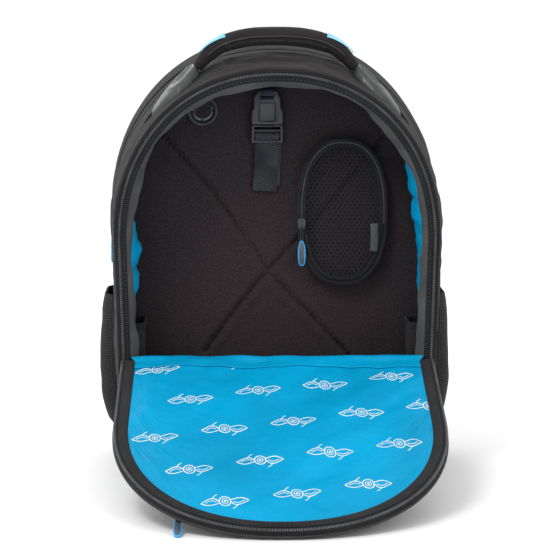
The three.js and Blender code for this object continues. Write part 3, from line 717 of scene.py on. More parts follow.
# ---- Patches: panels that fill an outline ----
def half_at(z, inset=0.0, foot=True):
    """Half width of the outline at a height."""
    z = np.asarray(z, float)
    rise = RIM_TOP - WAIST - inset
    arch = (RIM_HALF - inset) * (1 - np.clip((z - WAIST) / rise, 0, 1) ** ARCH_POWER) ** (1 / ARCH_POWER)
    low = side_x(z) - inset
    if foot:
        r, cx, cz = FOOT_CORNER - inset, FOOT_HALF - FOOT_CORNER, FOOT_Z + FOOT_CORNER
        corner = cx + np.sqrt(np.clip(r * r - np.clip(cz - z, 0, r) ** 2, 0, None))
        low = np.where(z < cz, corner, low)
    return np.where(z > WAIST, arch, low)


def arch_patch(inset, low, cols, rows, high=None):
    """Points filling the outline above a height: x, z and each one's distance from the edge."""
    a = np.sin(np.linspace(-math.pi / 2, math.pi / 2, cols))[:, None]
    x0 = a * (RIM_HALF - inset)
    if low is None:
        r, cx, cz = FOOT_CORNER - inset, FOOT_HALF - FOOT_CORNER, FOOT_Z + FOOT_CORNER
        xf = np.abs(a) * (FOOT_HALF - inset)
        bottom = np.where(xf > cx, cz - np.sqrt(np.clip(r * r - (xf - cx) ** 2, 0, None)), FOOT_Z + inset)
    else:
        bottom = np.full_like(x0, low)
    top = arch_height(x0, inset)
    if high is not None:
        top = np.minimum(top, high)
    b = (0.5 - 0.5 * np.cos(np.linspace(0, math.pi, rows))) * 0.5 + np.linspace(0, 1, rows) * 0.5
    z = bottom + (top - bottom) * b[None, :]
    narrow = np.where(z < WAIST, (side_x(z) - inset) / (RIM_HALF - inset), 1.0)
    x = x0 * narrow
    across = np.clip(half_at(z, inset, low is None) - np.abs(x), 0, None)
    up = np.clip(top - z, 0, None)
    down = np.clip(z - bottom, 0, None)
    slant = across * up / np.maximum(np.hypot(across, up), 1e-9)
    return x, z, np.minimum(np.minimum(slant, across), down)


def panel(name, patch, front, back, place=spread):
    """A closed pad between a front and a back face; front and back give y from x, z and edge distance."""
    x, z, edge = patch
    n, m = x.shape
    faces_y = [front(x, z, edge) if callable(front) else np.full(x.shape, front),
               back(x, z, edge) if callable(back) else np.full(x.shape, back)]
    p = np.concatenate([np.stack([x, y, z], axis=-1).reshape(-1, 3) for y in faces_y])
    faces, uvs = [], []

    def add(ids, shift):
        faces.append(tuple(ids))
        for v in ids:
            i = v % (n * m)
            uvs.append((x.ravel()[i] + shift, z.ravel()[i] + p[v][1]))

    for i in range(n - 1):
        for j in range(m - 1):
            a, b, c, d = i * m + j, (i + 1) * m + j, (i + 1) * m + j + 1, i * m + j + 1
            add((a, b, c, d), 0.0)
            add([v + n * m for v in (d, c, b, a)], 0.0)
    rim = ([i * m for i in range(n)] + [(n - 1) * m + j for j in range(1, m)]
           + [i * m + m - 1 for i in range(n - 2, -1, -1)] + [j for j in range(m - 2, 0, -1)])
    for k, a in enumerate(rim):
        b = rim[(k + 1) % len(rim)]
        add((b, a, a + n * m, b + n * m), 0.0)
    obj = mesh_object(name, place(p), faces, uvs)
    return settle(obj)


def on_body(p):
    return p


# ---- Walls of the bag ----
def outline_band_cloth(name, y0, y1, rows, bulge, rumple, seed, thickness):
    """A stretch of the side wall, rumpled, but pressed flat under the moulded ends of the handle."""
    path, normals = body_loop(340)
    y = np.linspace(y0, y1, rows)
    p = strip_points(path, normals, [(v, 0.0) for v in y])
    share = (y - y0) / (y1 - y0)
    crown = np.sin(math.pi * share) ** 0.6
    loose = np.clip((path[:, 1] - FOOT_Z) / (30 * MM), 0.15, 1)[:, None]
    folds = ripple(p, (0.06, 0.025, 0.06), seed) + 0.6 * ripple(p, (0.03, 0.012, 0.03), seed + 5)
    end_middle, end_reach = 97 * MM, 36 * MM
    under_ends = np.exp(-(((np.abs(path[:, 0]) - end_middle) / end_reach) ** 4)) * (path[:, 1] > 300 * MM)
    loose = loose * (1 - 0.95 * under_ends)[:, None]
    push = crown[None] * loose * (bulge + rumple * (folds + 0.45 * ripple(p, 0.012, seed + 9)))
    p[..., 0] += push * normals[:, None, 0]
    p[..., 2] += push * normals[:, None, 1]
    return thicken(grid(name, spread(p), close_u=True), thickness)


def ring_rod(name, y, inset, wide, finish, high=None):
    path, normals = body_loop(300)
    p = spread(strip_points(path, normals, [(y, inset)]))[:, 0]
    obj = rod(name, p, wide, high, sides=8, closed=True, hint=(0, -1, 0))
    return finish_piece(obj, finish, "bag")


def ring_stitches(name, y, inset):
    """Stitches round the side wall, left out along the base."""
    path, normals = body_loop(260)
    p = spread(strip_points(path, normals, [(y, inset)]))[:, 0]
    out = np.stack([normals[:, 0], np.zeros(len(path)), normals[:, 1]], axis=1)
    above_base = path[:, 1] > 20 * MM
    seam, out = p[above_base], out[above_base]
    count = int(np.linalg.norm(np.diff(seam, axis=0), axis=1).sum() / (4.2 * MM))
    row = repeat(name, *places(seam, out, count), stitch_verts(2.8, 0.6), STITCH_FACES)
    return finish_piece(row, THREAD_DARK, "bag")


def make_walls():
    thick = 3.2 * MM
    main = outline_band_cloth("main_side_wall", RIM_Y + 1 * MM, DIVIDER_Y + 2 * MM, 26, 2.4 * MM, 3.0 * MM,
                              3.0, thick)
    finish_piece(main, SHELL, "bag", ["main_gusset"])
    zip_low, zip_high = low_high("rear_zip_chain")
    rear_front = outline_band_cloth("rear_side_wall_front", REAR_Y - 1 * MM, zip_low[1] - 1 * MM, 8, 1.0 * MM,
                                    0.7 * MM, 7.0, thick)
    finish_piece(rear_front, SHELL, "bag", ["rear_gusset"])
    rear_back = outline_band_cloth("rear_side_wall_back", zip_high[1] + 1 * MM, BACK_Y + 1 * MM, 14, 1.8 * MM,
                                   1.0 * MM, 11.0, thick)
    finish_piece(rear_back, SHELL, "bag")
    ring_rod("front_piping", RIM_Y + 1.5 * MM, 0.2 * MM, 3.4 * MM, DARK_BINDING)
    ring_rod("divider_piping", (DIVIDER_Y + REAR_Y) / 2, 0.4 * MM, 4.6 * MM, PIPING)
    ring_rod("back_piping", BACK_Y + 3 * MM, 0.2 * MM, 4.2 * MM, PIPING)
    ring_stitches("front_wall_stitches", RIM_Y + 7 * MM, -1.7 * MM)
    ring_stitches("divider_seam_stitches", DIVIDER_Y - 5 * MM, -1.7 * MM)
    ring_stitches("back_seam_stitches", BACK_Y - 5 * MM, -1.6 * MM)


def make_rear_zip():
    """Closed chain between two tapes along the rear compartment, all the way round."""
    lo, hi = low_high("rear_zip_chain")
    mid = (lo[1] + hi[1]) / 2
    path, normals = body_loop(340)
    section = [(lo[1] - 2 * MM, -0.2 * MM), (mid - 2 * MM, -0.6 * MM), (mid + 2 * MM, -0.6 * MM),
               (hi[1] + 2 * MM, -0.2 * MM), (hi[1] + 2 * MM, 1.6 * MM), (lo[1] - 2 * MM, 1.6 * MM)]
    tape = band("rear_zip_tape", path, normals, section, closed=True)
    finish_piece(tape, ZIP_TAPE, "bag", ["rear_zip_chain"])
    arch, out = arch_path(lo[2] / (1 + RISE * (mid - RIM_Y)), 420)
    at = spread(strip_points(arch, out, [(mid, -0.8 * MM)]))[:, 0]
    hint = np.stack([out[:, 0], np.zeros(len(out)), out[:, 1]], axis=1)
    count = int(np.linalg.norm(np.diff(at, axis=0), axis=1).sum() / (1.9 * MM))
    tooth = block_verts(1.25 * MM, 5.6 * MM, 1.3 * MM)
    chain = repeat("rear_zip_teeth", *places(at, hint, count), tooth, BOX_FACES)
    finish_piece(chain, TEETH, "bag")
    for name, y in (("rear_zip_front_lap", lo[1] - 1.5 * MM), ("rear_zip_back_lap", hi[1] + 1.5 * MM)):
        ring_rod(name, y, -1.0 * MM, 3.6 * MM, DARK_BINDING, high=1.6 * MM)


def make_lining():
    """Blue lining round the inside, loose between its seams."""
    path, normals = body_loop(340)
    front = low_high("main_lining")[0][1]
    y = np.linspace(front - 6 * MM, DIVIDER_Y - 1 * MM, 26)
    inset = 5.5 * MM
    p = strip_points(path, normals, [(v, inset) for v in y])
    share = (y - y[0]) / (y[-1] - y[0])
    crown = np.sin(math.pi * share) ** 0.7
    push = crown[None] * (0.8 * MM + 1.8 * MM * ripple(p, (0.09, 0.035, 0.05), 21.0)
                          + 0.9 * MM * ripple(p, (0.04, 0.014, 0.022), 5.0))
    x, z = path[:, 0], path[:, 1]
    loose = np.zeros(len(path))
    for side, height, reach, deep in ((-1, 205, 56, 14), (1, 255, 58, 14), (1, 180, 22, 5), (-1, 310, 24, 5)):
        loose += deep * MM * np.exp(-(((z - height * MM) / (reach * MM)) ** 2)) * (x * side > 0)
    loose += 9 * MM * np.exp(-(((x - 62 * MM) / (32 * MM)) ** 2)) * (z > WAIST)
    fold = 1 + 0.35 * ripple(p * [1, 0, 1], 0.016, 51.0) + 0.2 * ripple(p, (0.03, 0.03, 0.008), 61.0)
    lean = np.sin(math.pi * np.clip(share * 1.25, 0, 1)) ** 0.8
    push = push + loose[:, None] * lean[None] * fold
    p[..., 0] -= push * normals[:, None, 0]
    p[..., 2] -= push * normals[:, None, 1]
    obj = thicken(grid("side_lining", spread(p), close_u=True), 0.6 * MM, 1.0)
    finish_piece(obj, BLUE_NYLON, "bag", ["main_lining"])


def make_rim():
    """The soft grey edge inside the rim, gathered so that it waves, and the open half of the zip."""
    arch, out = arch_path(FOLD_Z - 6 * MM, 380)
    steps = np.linspace(0, 1, 12)
    y = RIM_Y - 1.5 * MM + 12 * MM * steps
    inset = 5.6 * MM + 7.6 * MM * np.sin(steps * math.pi / 2)
    p = strip_points(arch, out, np.stack([y, inset], axis=1))
    free = steps[None] ** 1.3
    wave = free * (3.6 * MM * ripple(p * [1, 0, 1], 0.05, 31.0) + 2.4 * MM * ripple(p * [1, 0, 1], 0.02, 8.0))
    p[..., 0] -= wave * out[:, None, 0]
    p[..., 2] -= wave * out[:, None, 1]
    p[..., 1] += 2.2 * MM * free * ripple(p * [1, 0, 1], 0.03, 77.0)
    edge = thicken(grid("rim_soft_binding", spread(p)), 1.3 * MM, 0.0)
    finish_piece(edge, RIM_BINDING, "bag", ["rim_binding"])
    sewn = rod("rim_binding_edge", spread(p)[:, -1], 2.2 * MM, 3.0 * MM, sides=8, hint=(0, -1, 0))
    finish_piece(sewn, RIM_BINDING, "bag")
    make_rim_zip(arch, out)


def zip_teeth(name, at, hint, finish, body, pitch=2.1 * MM, length=1.3 * MM, wide=2.4 * MM, high=1.2 * MM):
    total = np.linalg.norm(np.diff(at, axis=0), axis=1).sum()
    placing = places(at, np.broadcast_to(hint, at.shape), max(2, int(total / pitch)))
    obj = repeat(name, *placing, block_verts(length, wide, high), BOX_FACES)
    return finish_piece(obj, finish, body)


def make_rim_zip(arch, out):
    lo, hi = low_high("rim_zip_tape")
    face, root = lo[1] + 1.4 * MM, hi[1]
    section = [(root, 0.6 * MM), (face, 0.9 * MM), (face, 5.5 * MM), (root - 1 * MM, 8.5 * MM),
               (root, 8.5 * MM)]
    tape = band("rim_zip_tape_cloth", arch, out, section, place=on_body)
    finish_piece(tape, ZIP_TAPE, "bag", ["rim_zip_tape"])
    at = strip_points(arch, out, [(face, 1.8 * MM)])[:, 0]
    zip_teeth("rim_zip_teeth", at, (0, -1, 0), TEETH, "bag")
    cord = strip_points(arch, out, [(face + 0.2 * MM, 6.2 * MM)])[:, 0]
    stitches("rim_zip_stitches", cord + [0, -0.8 * MM, 0], (0, -1, 0), THREAD, "bag")
    for side, name in ((1, "right"), (-1, "left")):
        low, high = low_high(f"rim_zip_leg_{name}")
        z = np.linspace(low[2], high[2] + 12 * MM, 30)
        x = side * (side_x(z) - 4 * MM)
        line = np.stack([x, np.full(30, low[1] + 1.7 * MM), z], axis=1)
        leg = strap(f"rim_zip_leg_tape_{name}", line, 9 * MM, 1.2 * MM, (0, -1, 0))
        finish_piece(leg, ZIP_TAPE, "bag", [f"rim_zip_leg_{name}"])
        zip_teeth(f"rim_zip_leg_teeth_{name}", line + [side * 1.2 * MM, -0.6 * MM, 0], (0, -1, 0),
                  BRIGHT_TEETH, "bag")


# ---- Divider with its two crossing pleats ----
PLEATS = [((-114, 329), (-60, 268), (-7, 192), (36, 146), (72, 108)),
          ((106, 324), (52, 256), (-7, 192), (-42, 150), (-69, 112))]


def pleat_distance(x, z):
    """Distance from the nearer of the two stitched pleats, in metres."""
    best = np.full(np.shape(x), 1.0)
    for points in PLEATS:
        line = smooth(np.array(points) * MM, 60)
        d = np.hypot(x[..., None] - line[:, 0], z[..., None] - line[:, 1]).min(axis=-1)
        best = np.minimum(best, d)
    return best


def divider_face(x, z, edge):
    """The padded face of the divider: puffed, pinched along the pleats and pressed by the strap."""
    back = DIVIDER_Y - RIM_Y
    real_x, real_z = x * (1 + WIDEN * back), z * (1 + RISE * back)
    d = pleat_distance(real_x, real_z)
    p = np.stack([real_x, 0 * real_x, real_z], axis=-1)
    strap_x, strap_z = -8 * MM, 302 * MM  # the middle of the headset strap
    strap_press = (np.exp(-(((real_x - strap_x) / (24 * MM)) ** 4))
                   * np.exp(-(((real_z - strap_z) / (94 * MM)) ** 6)))
    puff = 6.0 * MM * (1 - np.exp(-((edge / (16 * MM)) ** 2))) * (1 - 0.75 * strap_press)
    pinch = 1 - np.exp(-((d / (2.5 * MM)) ** 2)) + 0.34 * np.exp(-(((d - 6 * MM) / (5 * MM)) ** 2))
    across = 1.1 * MM * np.exp(-((d / (20 * MM)) ** 2)) * ripple(p, (0.010, 1, 0.010), 4.0)
    broad = 1.3 * MM * ripple(p, 0.05, 13.0) + 0.5 * MM * ripple(p, 0.018, 2.0)
    free = 1 - np.exp(-edge / (4 * MM))
    return DIVIDER_Y - puff * pinch - (across + broad) * free * (1 - 0.8 * strap_press)


def make_divider():
    patch = arch_patch(2 * MM, None, 190, 210)
    obj = panel("padded_divider", patch, divider_face, REAR_Y)
    finish_piece(obj, DIVIDER_CLOTH, "bag", ["divider_panel"])
    for k, points in enumerate(PLEATS):
        line = smooth(np.array(points) * MM, 120)
        back = DIVIDER_Y - RIM_Y
        x, z = line[:, 0] / (1 + WIDEN * back), line[:, 1] / (1 + RISE * back)
        y = divider_face(x, z, np.full(x.shape, 40 * MM)) - 0.1 * MM
        stitches(f"pleat_stitches_{k + 1}", np.stack([line[:, 0], y, line[:, 1]], axis=1), (0, -1, 0),
                 THREAD_DARK, "bag", 2.4, 1.6, 0.45)


def make_base_and_front():
    lo, hi = low_high("base_panel")
    bpy.ops.mesh.primitive_cube_add(size=1, location=(0, (lo[1] + hi[1]) / 2, (lo[2] + hi[2]) / 2))
    base = bpy.context.object
    base.name = "base_cloth"
    base.scale = (hi[0] - lo[0], hi[1] - lo[1], hi[2] - lo[2])
    bpy.ops.object.transform_apply(location=True, scale=True)
    bpy.ops.object.mode_set(mode="EDIT")
    bpy.ops.mesh.select_all(action="SELECT")
    bpy.ops.mesh.subdivide(number_cuts=6)
    bpy.ops.object.mode_set(mode="OBJECT")
    modify(base, "BEVEL", width=1.4 * MM, segments=3, limit_method="ANGLE")
    base.data.shade_smooth()
    finish_piece(base, SHELL_PLAIN, "bag", ["base_panel"])

    def front(x, z, edge):
        p = np.stack([x, 0 * x, z], axis=-1)
        crown = 3.0 * MM * (1 - np.exp(-edge / (10 * MM)))
        return RIM_Y + 2.2 * MM - crown - 0.6 * MM * ripple(p, 0.03, 6.0) * (edge > 1 * MM)

    patch = arch_patch(4.5 * MM, None, 70, 40, high=FOLD_Z - 3 * MM)
    lower = panel("lower_front", patch, front, RIM_Y + 5 * MM)
    finish_piece(lower, SHELL, "bag", ["front_lower_panel"])
    back_patch = arch_patch(1.0 * MM, None, 90, 100)

    def back(x, z, edge):
        p = np.stack([x, 0 * x, z], axis=-1)
        return BACK_FACE - 2.4 * MM * np.exp(-edge / (3 * MM)) + 0.5 * MM * ripple(p, 0.03, 9.0)

    rear = panel("back_cloth", back_patch, BACK_Y + 1 * MM, back)
    finish_piece(rear, SHELL, "bag", ["back_panel"])


# ---- Front panel, made shut and folded down ----
LINING_INSET = 12.4 * MM


def lining_y(x, z):
    """How far the loose lining of the front panel stands off its board, as y when shut."""
    edge_x = np.clip(half_at(z, LINING_INSET, False) - np.abs(x), 0, None)
    edge_top = np.clip(arch_height(x, LINING_INSET) - z, 0, None)
    edge = edge_x * edge_top / np.maximum(np.hypot(edge_x, edge_top), 1e-9)
    p = np.stack([x, 0 * x, z], axis=-1)
    free = 1 - np.exp(-((edge / (12 * MM)) ** 2))
    slant = np.stack([x + 0.8 * z, 0 * x, z - 0.8 * x], axis=-1)
    broad = 3.0 * MM * ripple(slant, (0.05, 1, 0.14), 3.0) + 1.5 * MM * ripple(slant, (0.024, 1, 0.07), 15.0)
    pucker = 2.2 * MM * np.exp(-edge / (18 * MM)) * ripple(p, (0.012, 1, 0.014), 9.0)
    near_fold = np.exp(-(z - FOLD_Z) / (16 * MM))
    drag = 1.1 * MM * near_fold * ripple(p, (0.022, 1, 0.06), 27.0)
    return -1.6 * MM + free * (0.9 * MM + broad + drag) + free ** 0.3 * pucker


def panel_lining():
    x, z, _ = arch_patch(LINING_INSET - 1 * MM, FOLD_Z + 1 * MM, 150, 130)
    p = folded(np.stack([x, lining_y(x, z), z], axis=-1))
    obj = thicken(grid("front_panel_lining_cloth", p), 0.5 * MM, 0.0)
    finish_piece(obj, BLUE_NYLON, "front_panel", ["front_panel_lining"])


def stroke(points, width, closed=False):
    """A drawn line as a thin ribbon of quads in the plane."""
    p = np.asarray(points, float)
    t = (np.roll(p, -1, 0) - np.roll(p, 1, 0)) if closed else np.gradient(p, axis=0)
    t /= np.linalg.norm(t, axis=1)[:, None]
    side = np.stack([-t[:, 1], t[:, 0]], axis=1) * width / 2
    n = len(p)
    verts = np.concatenate([p - side, p + side])
    last = n if closed else n - 1
    return verts, [(i, (i + 1) % n, n + (i + 1) % n, n + i) for i in range(last)]


def propeller_motif():
    """A two-bladed propeller seen from the front, with its hub and two arcs of motion."""
    parts = []
    a = np.linspace(0, 2 * math.pi, 30, endpoint=False)
    parts.append(stroke(np.stack([5.0 * np.cos(a), 6.4 * np.sin(a)], axis=1), 1.0, closed=True))
    parts.append(stroke(np.stack([2.6 * np.cos(a), 3.4 * np.sin(a)], axis=1), 0.7, closed=True))
    parts.append(stroke(np.stack([0.7 * np.cos(a[::3]), 0.9 * np.sin(a[::3])], axis=1), 1.1, closed=True))
    for side in (1, -1):
        s = np.linspace(0, 1, 16)
        upper = np.stack([5.6 + 15.4 * s, 1.6 + 5.4 * np.sin(math.pi * s ** 0.7) * (1 - 0.35 * s)], axis=1)
        lower = np.stack([5.6 + 15.4 * s, -1.6 - 2.6 * np.sin(math.pi * s ** 1.4) + 3.2 * s ** 2], axis=1)
        vein = np.stack([7.5 + 9.5 * s, 0.8 + 2.4 * np.sin(math.pi * s ** 0.8)], axis=1)
        for line, width in ((upper, 1.0), (lower, 1.0), (vein, 0.8)):
            parts.append(stroke(line * side, width))
        b = np.linspace(0.45, 1.15, 10)
        parts.append(stroke(np.stack([12 * np.cos(b), 12 * np.sin(b)], axis=1) * side, 0.8))
    verts, faces, start = [], [], 0
    for v, f in parts:
        verts.append(v)
        faces += [tuple(k + start for k in face) for face in f]
        start += len(v)
    return np.concatenate(verts) * MM, faces


def panel_print():
    verts, faces = propeller_motif()
    all_verts, all_faces = [], []
    row_step, column_step = 56 * MM, 63 * MM
    count = 0
    for row in range(7):
        for column in range(-3, 4):
            x0 = (column + (0.5 if row % 2 else 0.0)) * column_step + 12 * MM
            z0 = FOLD_Z - 4 * MM + row * row_step - 0.2 * x0
            turn = math.radians(-11 + (180 if row % 2 else 0))
            c, s = math.cos(turn), math.sin(turn)
            x = x0 + verts[:, 0] * c - verts[:, 1] * s
            z = z0 + verts[:, 0] * s + verts[:, 1] * c
            inside = ((np.abs(x) < half_at(z, LINING_INSET, False)) & (z > FOLD_Z + 2 * MM)
                      & (z < arch_height(np.clip(x, -RIM_HALF, RIM_HALF), LINING_INSET)))
            if inside.mean() < 0.3:
                continue
            p = np.stack([x, lining_y(x, z) + 0.42 * MM, z], axis=-1)
            all_verts.append(p)
            all_faces += [tuple(k + count for k in f) for f in faces if all(inside[k] for k in f)]
            count += len(p)
    obj = mesh_object("lining_print", folded(np.concatenate(all_verts)), all_faces)
    bm = bmesh.new()
    bm.from_mesh(obj.data)
    bmesh.ops.delete(bm, geom=[v for v in bm.verts if not v.link_faces], context="VERTS")
    bm.to_mesh(obj.data)
    bm.free()
    thicken(obj, 0.08 * MM, 0.0)
    finish_piece(obj, PRINT, "front_panel")


def make_front_panel():
    low = FOLD_Z + 1 * MM
    arch, out = arch_path(low, 300)
    tape_low = -3.3 * MM
    binding = band("front_panel_binding_cloth", arch, out, [
        (tape_low, 4.0 * MM), (-0.9 * MM, 3.9 * MM), (-0.2 * MM, 5.4 * MM), (-0.1 * MM, 8 * MM),
        (-0.3 * MM, 11 * MM), (-1.2 * MM, 13.2 * MM), (tape_low, 13.4 * MM)], place=folded)
    finish_piece(binding, DARK_BINDING, "front_panel", ["front_panel_binding"])
    tape = band("front_panel_zip_cloth", arch, out, [
        (tape_low, -0.4 * MM), (-1.6 * MM, -0.6 * MM), (-1.3 * MM, 4.4 * MM), (tape_low, 4.4 * MM)],
        place=folded)
    finish_piece(tape, ZIP_TAPE, "front_panel", ["front_panel_zip_tape"])
    at = folded(strip_points(arch, out, [(-1.4 * MM, 0.8 * MM)])[:, 0])
    inward = folded([[0, 1, HINGE[2]]])[0] - folded([[0, 0, HINGE[2]]])[0]
    zip_teeth("front_panel_teeth", at, inward, TEETH, "front_panel")
    for name, inset, y in (("binding_outer_stitches", 5.2 * MM, 0.0),
                           ("binding_inner_stitches", 11.6 * MM, -0.1 * MM)):
        line = folded(strip_points(arch, out, [(y, inset)])[:, 0])
        stitches(name, line, inward, THREAD, "front_panel")
    panel_lining()
    panel_print()
    face, back = -9.9 * MM, -3.4 * MM

    def outer(x, z, edge):
        p = np.stack([x, 0 * x, z], axis=-1)
        rounding = 1.6 * MM * np.exp(-edge / (2.2 * MM))
        return face + rounding - 0.4 * MM * ripple(p, 0.03, 3.0) * (edge > 3 * MM)

    shell = panel("front_panel_shell", arch_patch(0.2 * MM, low, 110, 100), outer, back, place=folded)
    finish_piece(shell, SHELL, "front_panel", ["front_panel_board"])
    edge_line = folded(strip_points(arch, out, [(face + 1.6 * MM, 0.2 * MM)])[:, 0])
    piping = rod("front_panel_piping", edge_line, 3.0 * MM, sides=8, hint=-inward)
    finish_piece(piping, PIPING, "front_panel")
    make_front_pocket(inward)


def make_front_pocket(inward):
    pocket_low, pocket_high = FOLD_Z + 22 * MM, FOLD_Z + 216 * MM
    back, face = -10.2 * MM, -19.4 * MM

    def outer(x, z, edge):
        p = np.stack([x, 0 * x, z], axis=-1)
        crown = (1 - np.exp(-edge / (7 * MM)))
        return back - (back - face) * crown - 0.7 * MM * crown * ripple(p, 0.035, 17.0)

    patch = arch_patch(19 * MM, pocket_low, 90, 90, high=pocket_high)
    pocket = panel("front_pocket_cloth", patch, outer, back, place=folded)
    finish_piece(pocket, SHELL, "front_panel", ["front_pocket"])
    x = np.linspace(-100 * MM, 100 * MM, 60)
    line = np.stack([x, np.full(60, back - 0.6 * MM), np.full(60, pocket_high + 3 * MM)], axis=1)
    tape = strap("front_pocket_zip_tape", folded(line), 11 * MM, 1.0 * MM, -inward)
    finish_piece(tape, ZIP_TAPE, "front_panel")
    zip_teeth("front_pocket_teeth", folded(line + [0, -0.5 * MM, 0]), -inward, TEETH, "front_panel",
              wide=4.6 * MM)


def make_fold():
    """The lining carries on over the fold, from the inside of the lower front to the panel."""
    cols = 90
    x = np.linspace(-1, 1, cols)
    flap_u = np.array([3, 8, 14]) * MM
    rows = [(RIM_Y + 7 * MM, FOLD_Z - 14 * MM), (RIM_Y + 5.6 * MM, FOLD_Z - 4 * MM),
            (RIM_Y + 2 * MM, FOLD_Z + 0.6 * MM), (RIM_Y - 3 * MM, FOLD_Z + 1.2 * MM)]
    p = np.zeros((cols, len(rows) + len(flap_u), 3))
    for j, (y, z) in enumerate(rows):
        p[:, j] = np.stack([x * (side_x(FOLD_Z) - 9 * MM), np.full(cols, y), np.full(cols, z)], axis=1)
    for j, (u, tuck) in enumerate(zip(flap_u, np.array([0.62, 0.8, 1.2]) * MM)):
        z = np.full(cols, FOLD_Z + u)
        wide = x * (side_x(z) - 13 * MM)
        p[:, len(rows) + j] = folded(np.stack([wide, lining_y(wide, z) + tuck, z], axis=1))
    fine = np.stack([smooth(row, 26) for row in p])
    hump = np.sin(math.pi * np.clip(np.linspace(0, 1.6, 26), 0, 1)) ** 0.8
    wave = 1.5 * MM * ripple(fine * [1, 0, 0], 0.026, 3.0) + 1.3 * MM * ripple(fine * [1, 0, 0], 0.07, 12.0)
    fine[..., 2] += hump[None] * (0.8 * MM + wave)
    obj = thicken(grid("fold_lining", fine), 0.6 * MM, 0.0)
    finish_piece(obj, BLUE_NYLON, None)
    tuple(folded([[0, 0, FOLD_Z + 9 * MM]])[0])
    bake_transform(obj)


# ---- Cable port ----
def make_port():
    """A rubber collar, four dipped petals, and paler lips along the cross cut between them as a painted
    highlight.
    """
    lo, hi = low_high("cable_port")
    middle = (lo + hi) / 2
    face = lo[1] - 4.0 * MM
    profile = [(10.6, 1.2), (11.0, -0.4), (12.4, -1.4), (14.2, -1.7), (15.6, -1.1), (16.0, 0.4), (15.2, 1.2)]
    a = np.linspace(0, 2 * math.pi, 72, endpoint=False)
    p = np.zeros((72, len(profile), 3))
    for j, (r, y) in enumerate(profile):
        p[:, j] = np.stack([middle[0] + r * MM * np.cos(a), np.full(72, face + y * MM),
                            middle[2] + r * MM * np.sin(a)], axis=1)
    collar = settle(grid("cable_port_collar", p, close_u=True, close_v=True))
    finish_piece(collar, RUBBER_DARK, "bag", ["cable_port"])
    for k in range(4):
        start = k * math.pi / 2 + 0.04
        end = (k + 1) * math.pi / 2 - 0.04
        sweep = np.linspace(start, end, 12)
        outer = np.stack([np.cos(sweep), np.sin(sweep)], axis=1) * 10.9 * MM
        mid = (start + end) / 2
        tip = np.array([[math.cos(mid), math.sin(mid)]]) * 0.7 * MM
        rows = []
        for share, dip in ((0.0, 0.0), (0.35, 1.4), (0.75, 2.4), (1.0, 2.8)):
            ring = outer * (1 - share) + tip * share
            lift = dip * MM * (1.0 if k % 2 else 0.8)
            rows.append(np.stack([middle[0] + ring[:, 0], np.full(12, face + 0.4 * MM + lift),
                                  middle[2] + ring[:, 1]], axis=1))
        petal = thicken(grid(f"cable_port_petal_{k + 1}", np.stack(rows, axis=1)), 0.8 * MM, 0.0)
        petal.data.validate()
        settle(petal)
        finish_piece(petal, PORT_RUBBER, "bag")
    # Paler raised lips along the cross cut: a painted highlight where the slit edges catch the light.
    for k in range(4):
        turn = k * math.pi / 2
        reach = np.linspace(1.4, 10.4, 12)
        dip = np.interp(reach, [1.4, 4, 8, 10.4], [2.4, 1.9, 1.0, 0.2])
        highlight_lip = np.stack([middle[0] + reach * MM * math.cos(turn), face + dip * MM - 0.2 * MM,
                        middle[2] + reach * MM * math.sin(turn)], axis=1)
        edge = rod(f"cable_port_highlight_lip_{k + 1}", highlight_lip, 1.7 * MM, 1.2 * MM, sides=8, hint=(0, -1, 0))
        finish_piece(edge, TAG_RUBBER, "bag")
    ring = np.stack([middle[0] + 19 * MM * np.cos(a), np.zeros(72), middle[2] + 19 * MM * np.sin(a)], axis=1)
    ring[:, 1] = face + 0.2 * MM
    stitches("cable_port_stitches", ring, (0, -1, 0), THREAD, "bag", closed=True)


# ---- Oval mesh pouch ----
POUCH_LOW, POUCH_HIGH = low_high("pouch_zip_ring")
POUCH_X, POUCH_Z = (POUCH_LOW[0] + POUCH_HIGH[0]) / 2, (POUCH_LOW[2] + POUCH_HIGH[2]) / 2
OVAL_POWER = 2.4
OVAL_STEPS = 220


def oval_halves(inset):
    """Half width and half height of the pouch's oval."""
    return (POUCH_HIGH[0] - POUCH_LOW[0]) / 2 - inset, (POUCH_HIGH[2] - POUCH_LOW[2]) / 2 - inset


def oval_loop(inset, count=OVAL_STEPS):
    hx, hz = oval_halves(inset)
    loop = curve_arc(POUCH_X, POUCH_Z, hx, hz, -math.pi / 2, 1.5 * math.pi, 400, OVAL_POWER)[:-1]
    return even(loop, count, closed=True)


def oval_band(name, sections):
    """A closed section of (y, inset) pairs carried round the oval."""
    p = np.zeros((OVAL_STEPS, len(sections), 3))
    for j, (y, inset) in enumerate(sections):
        p[:, j, [0, 2]] = oval_loop(inset)
        p[:, j, 1] = y
    return settle(grid(name, p, close_u=True, close_v=True))


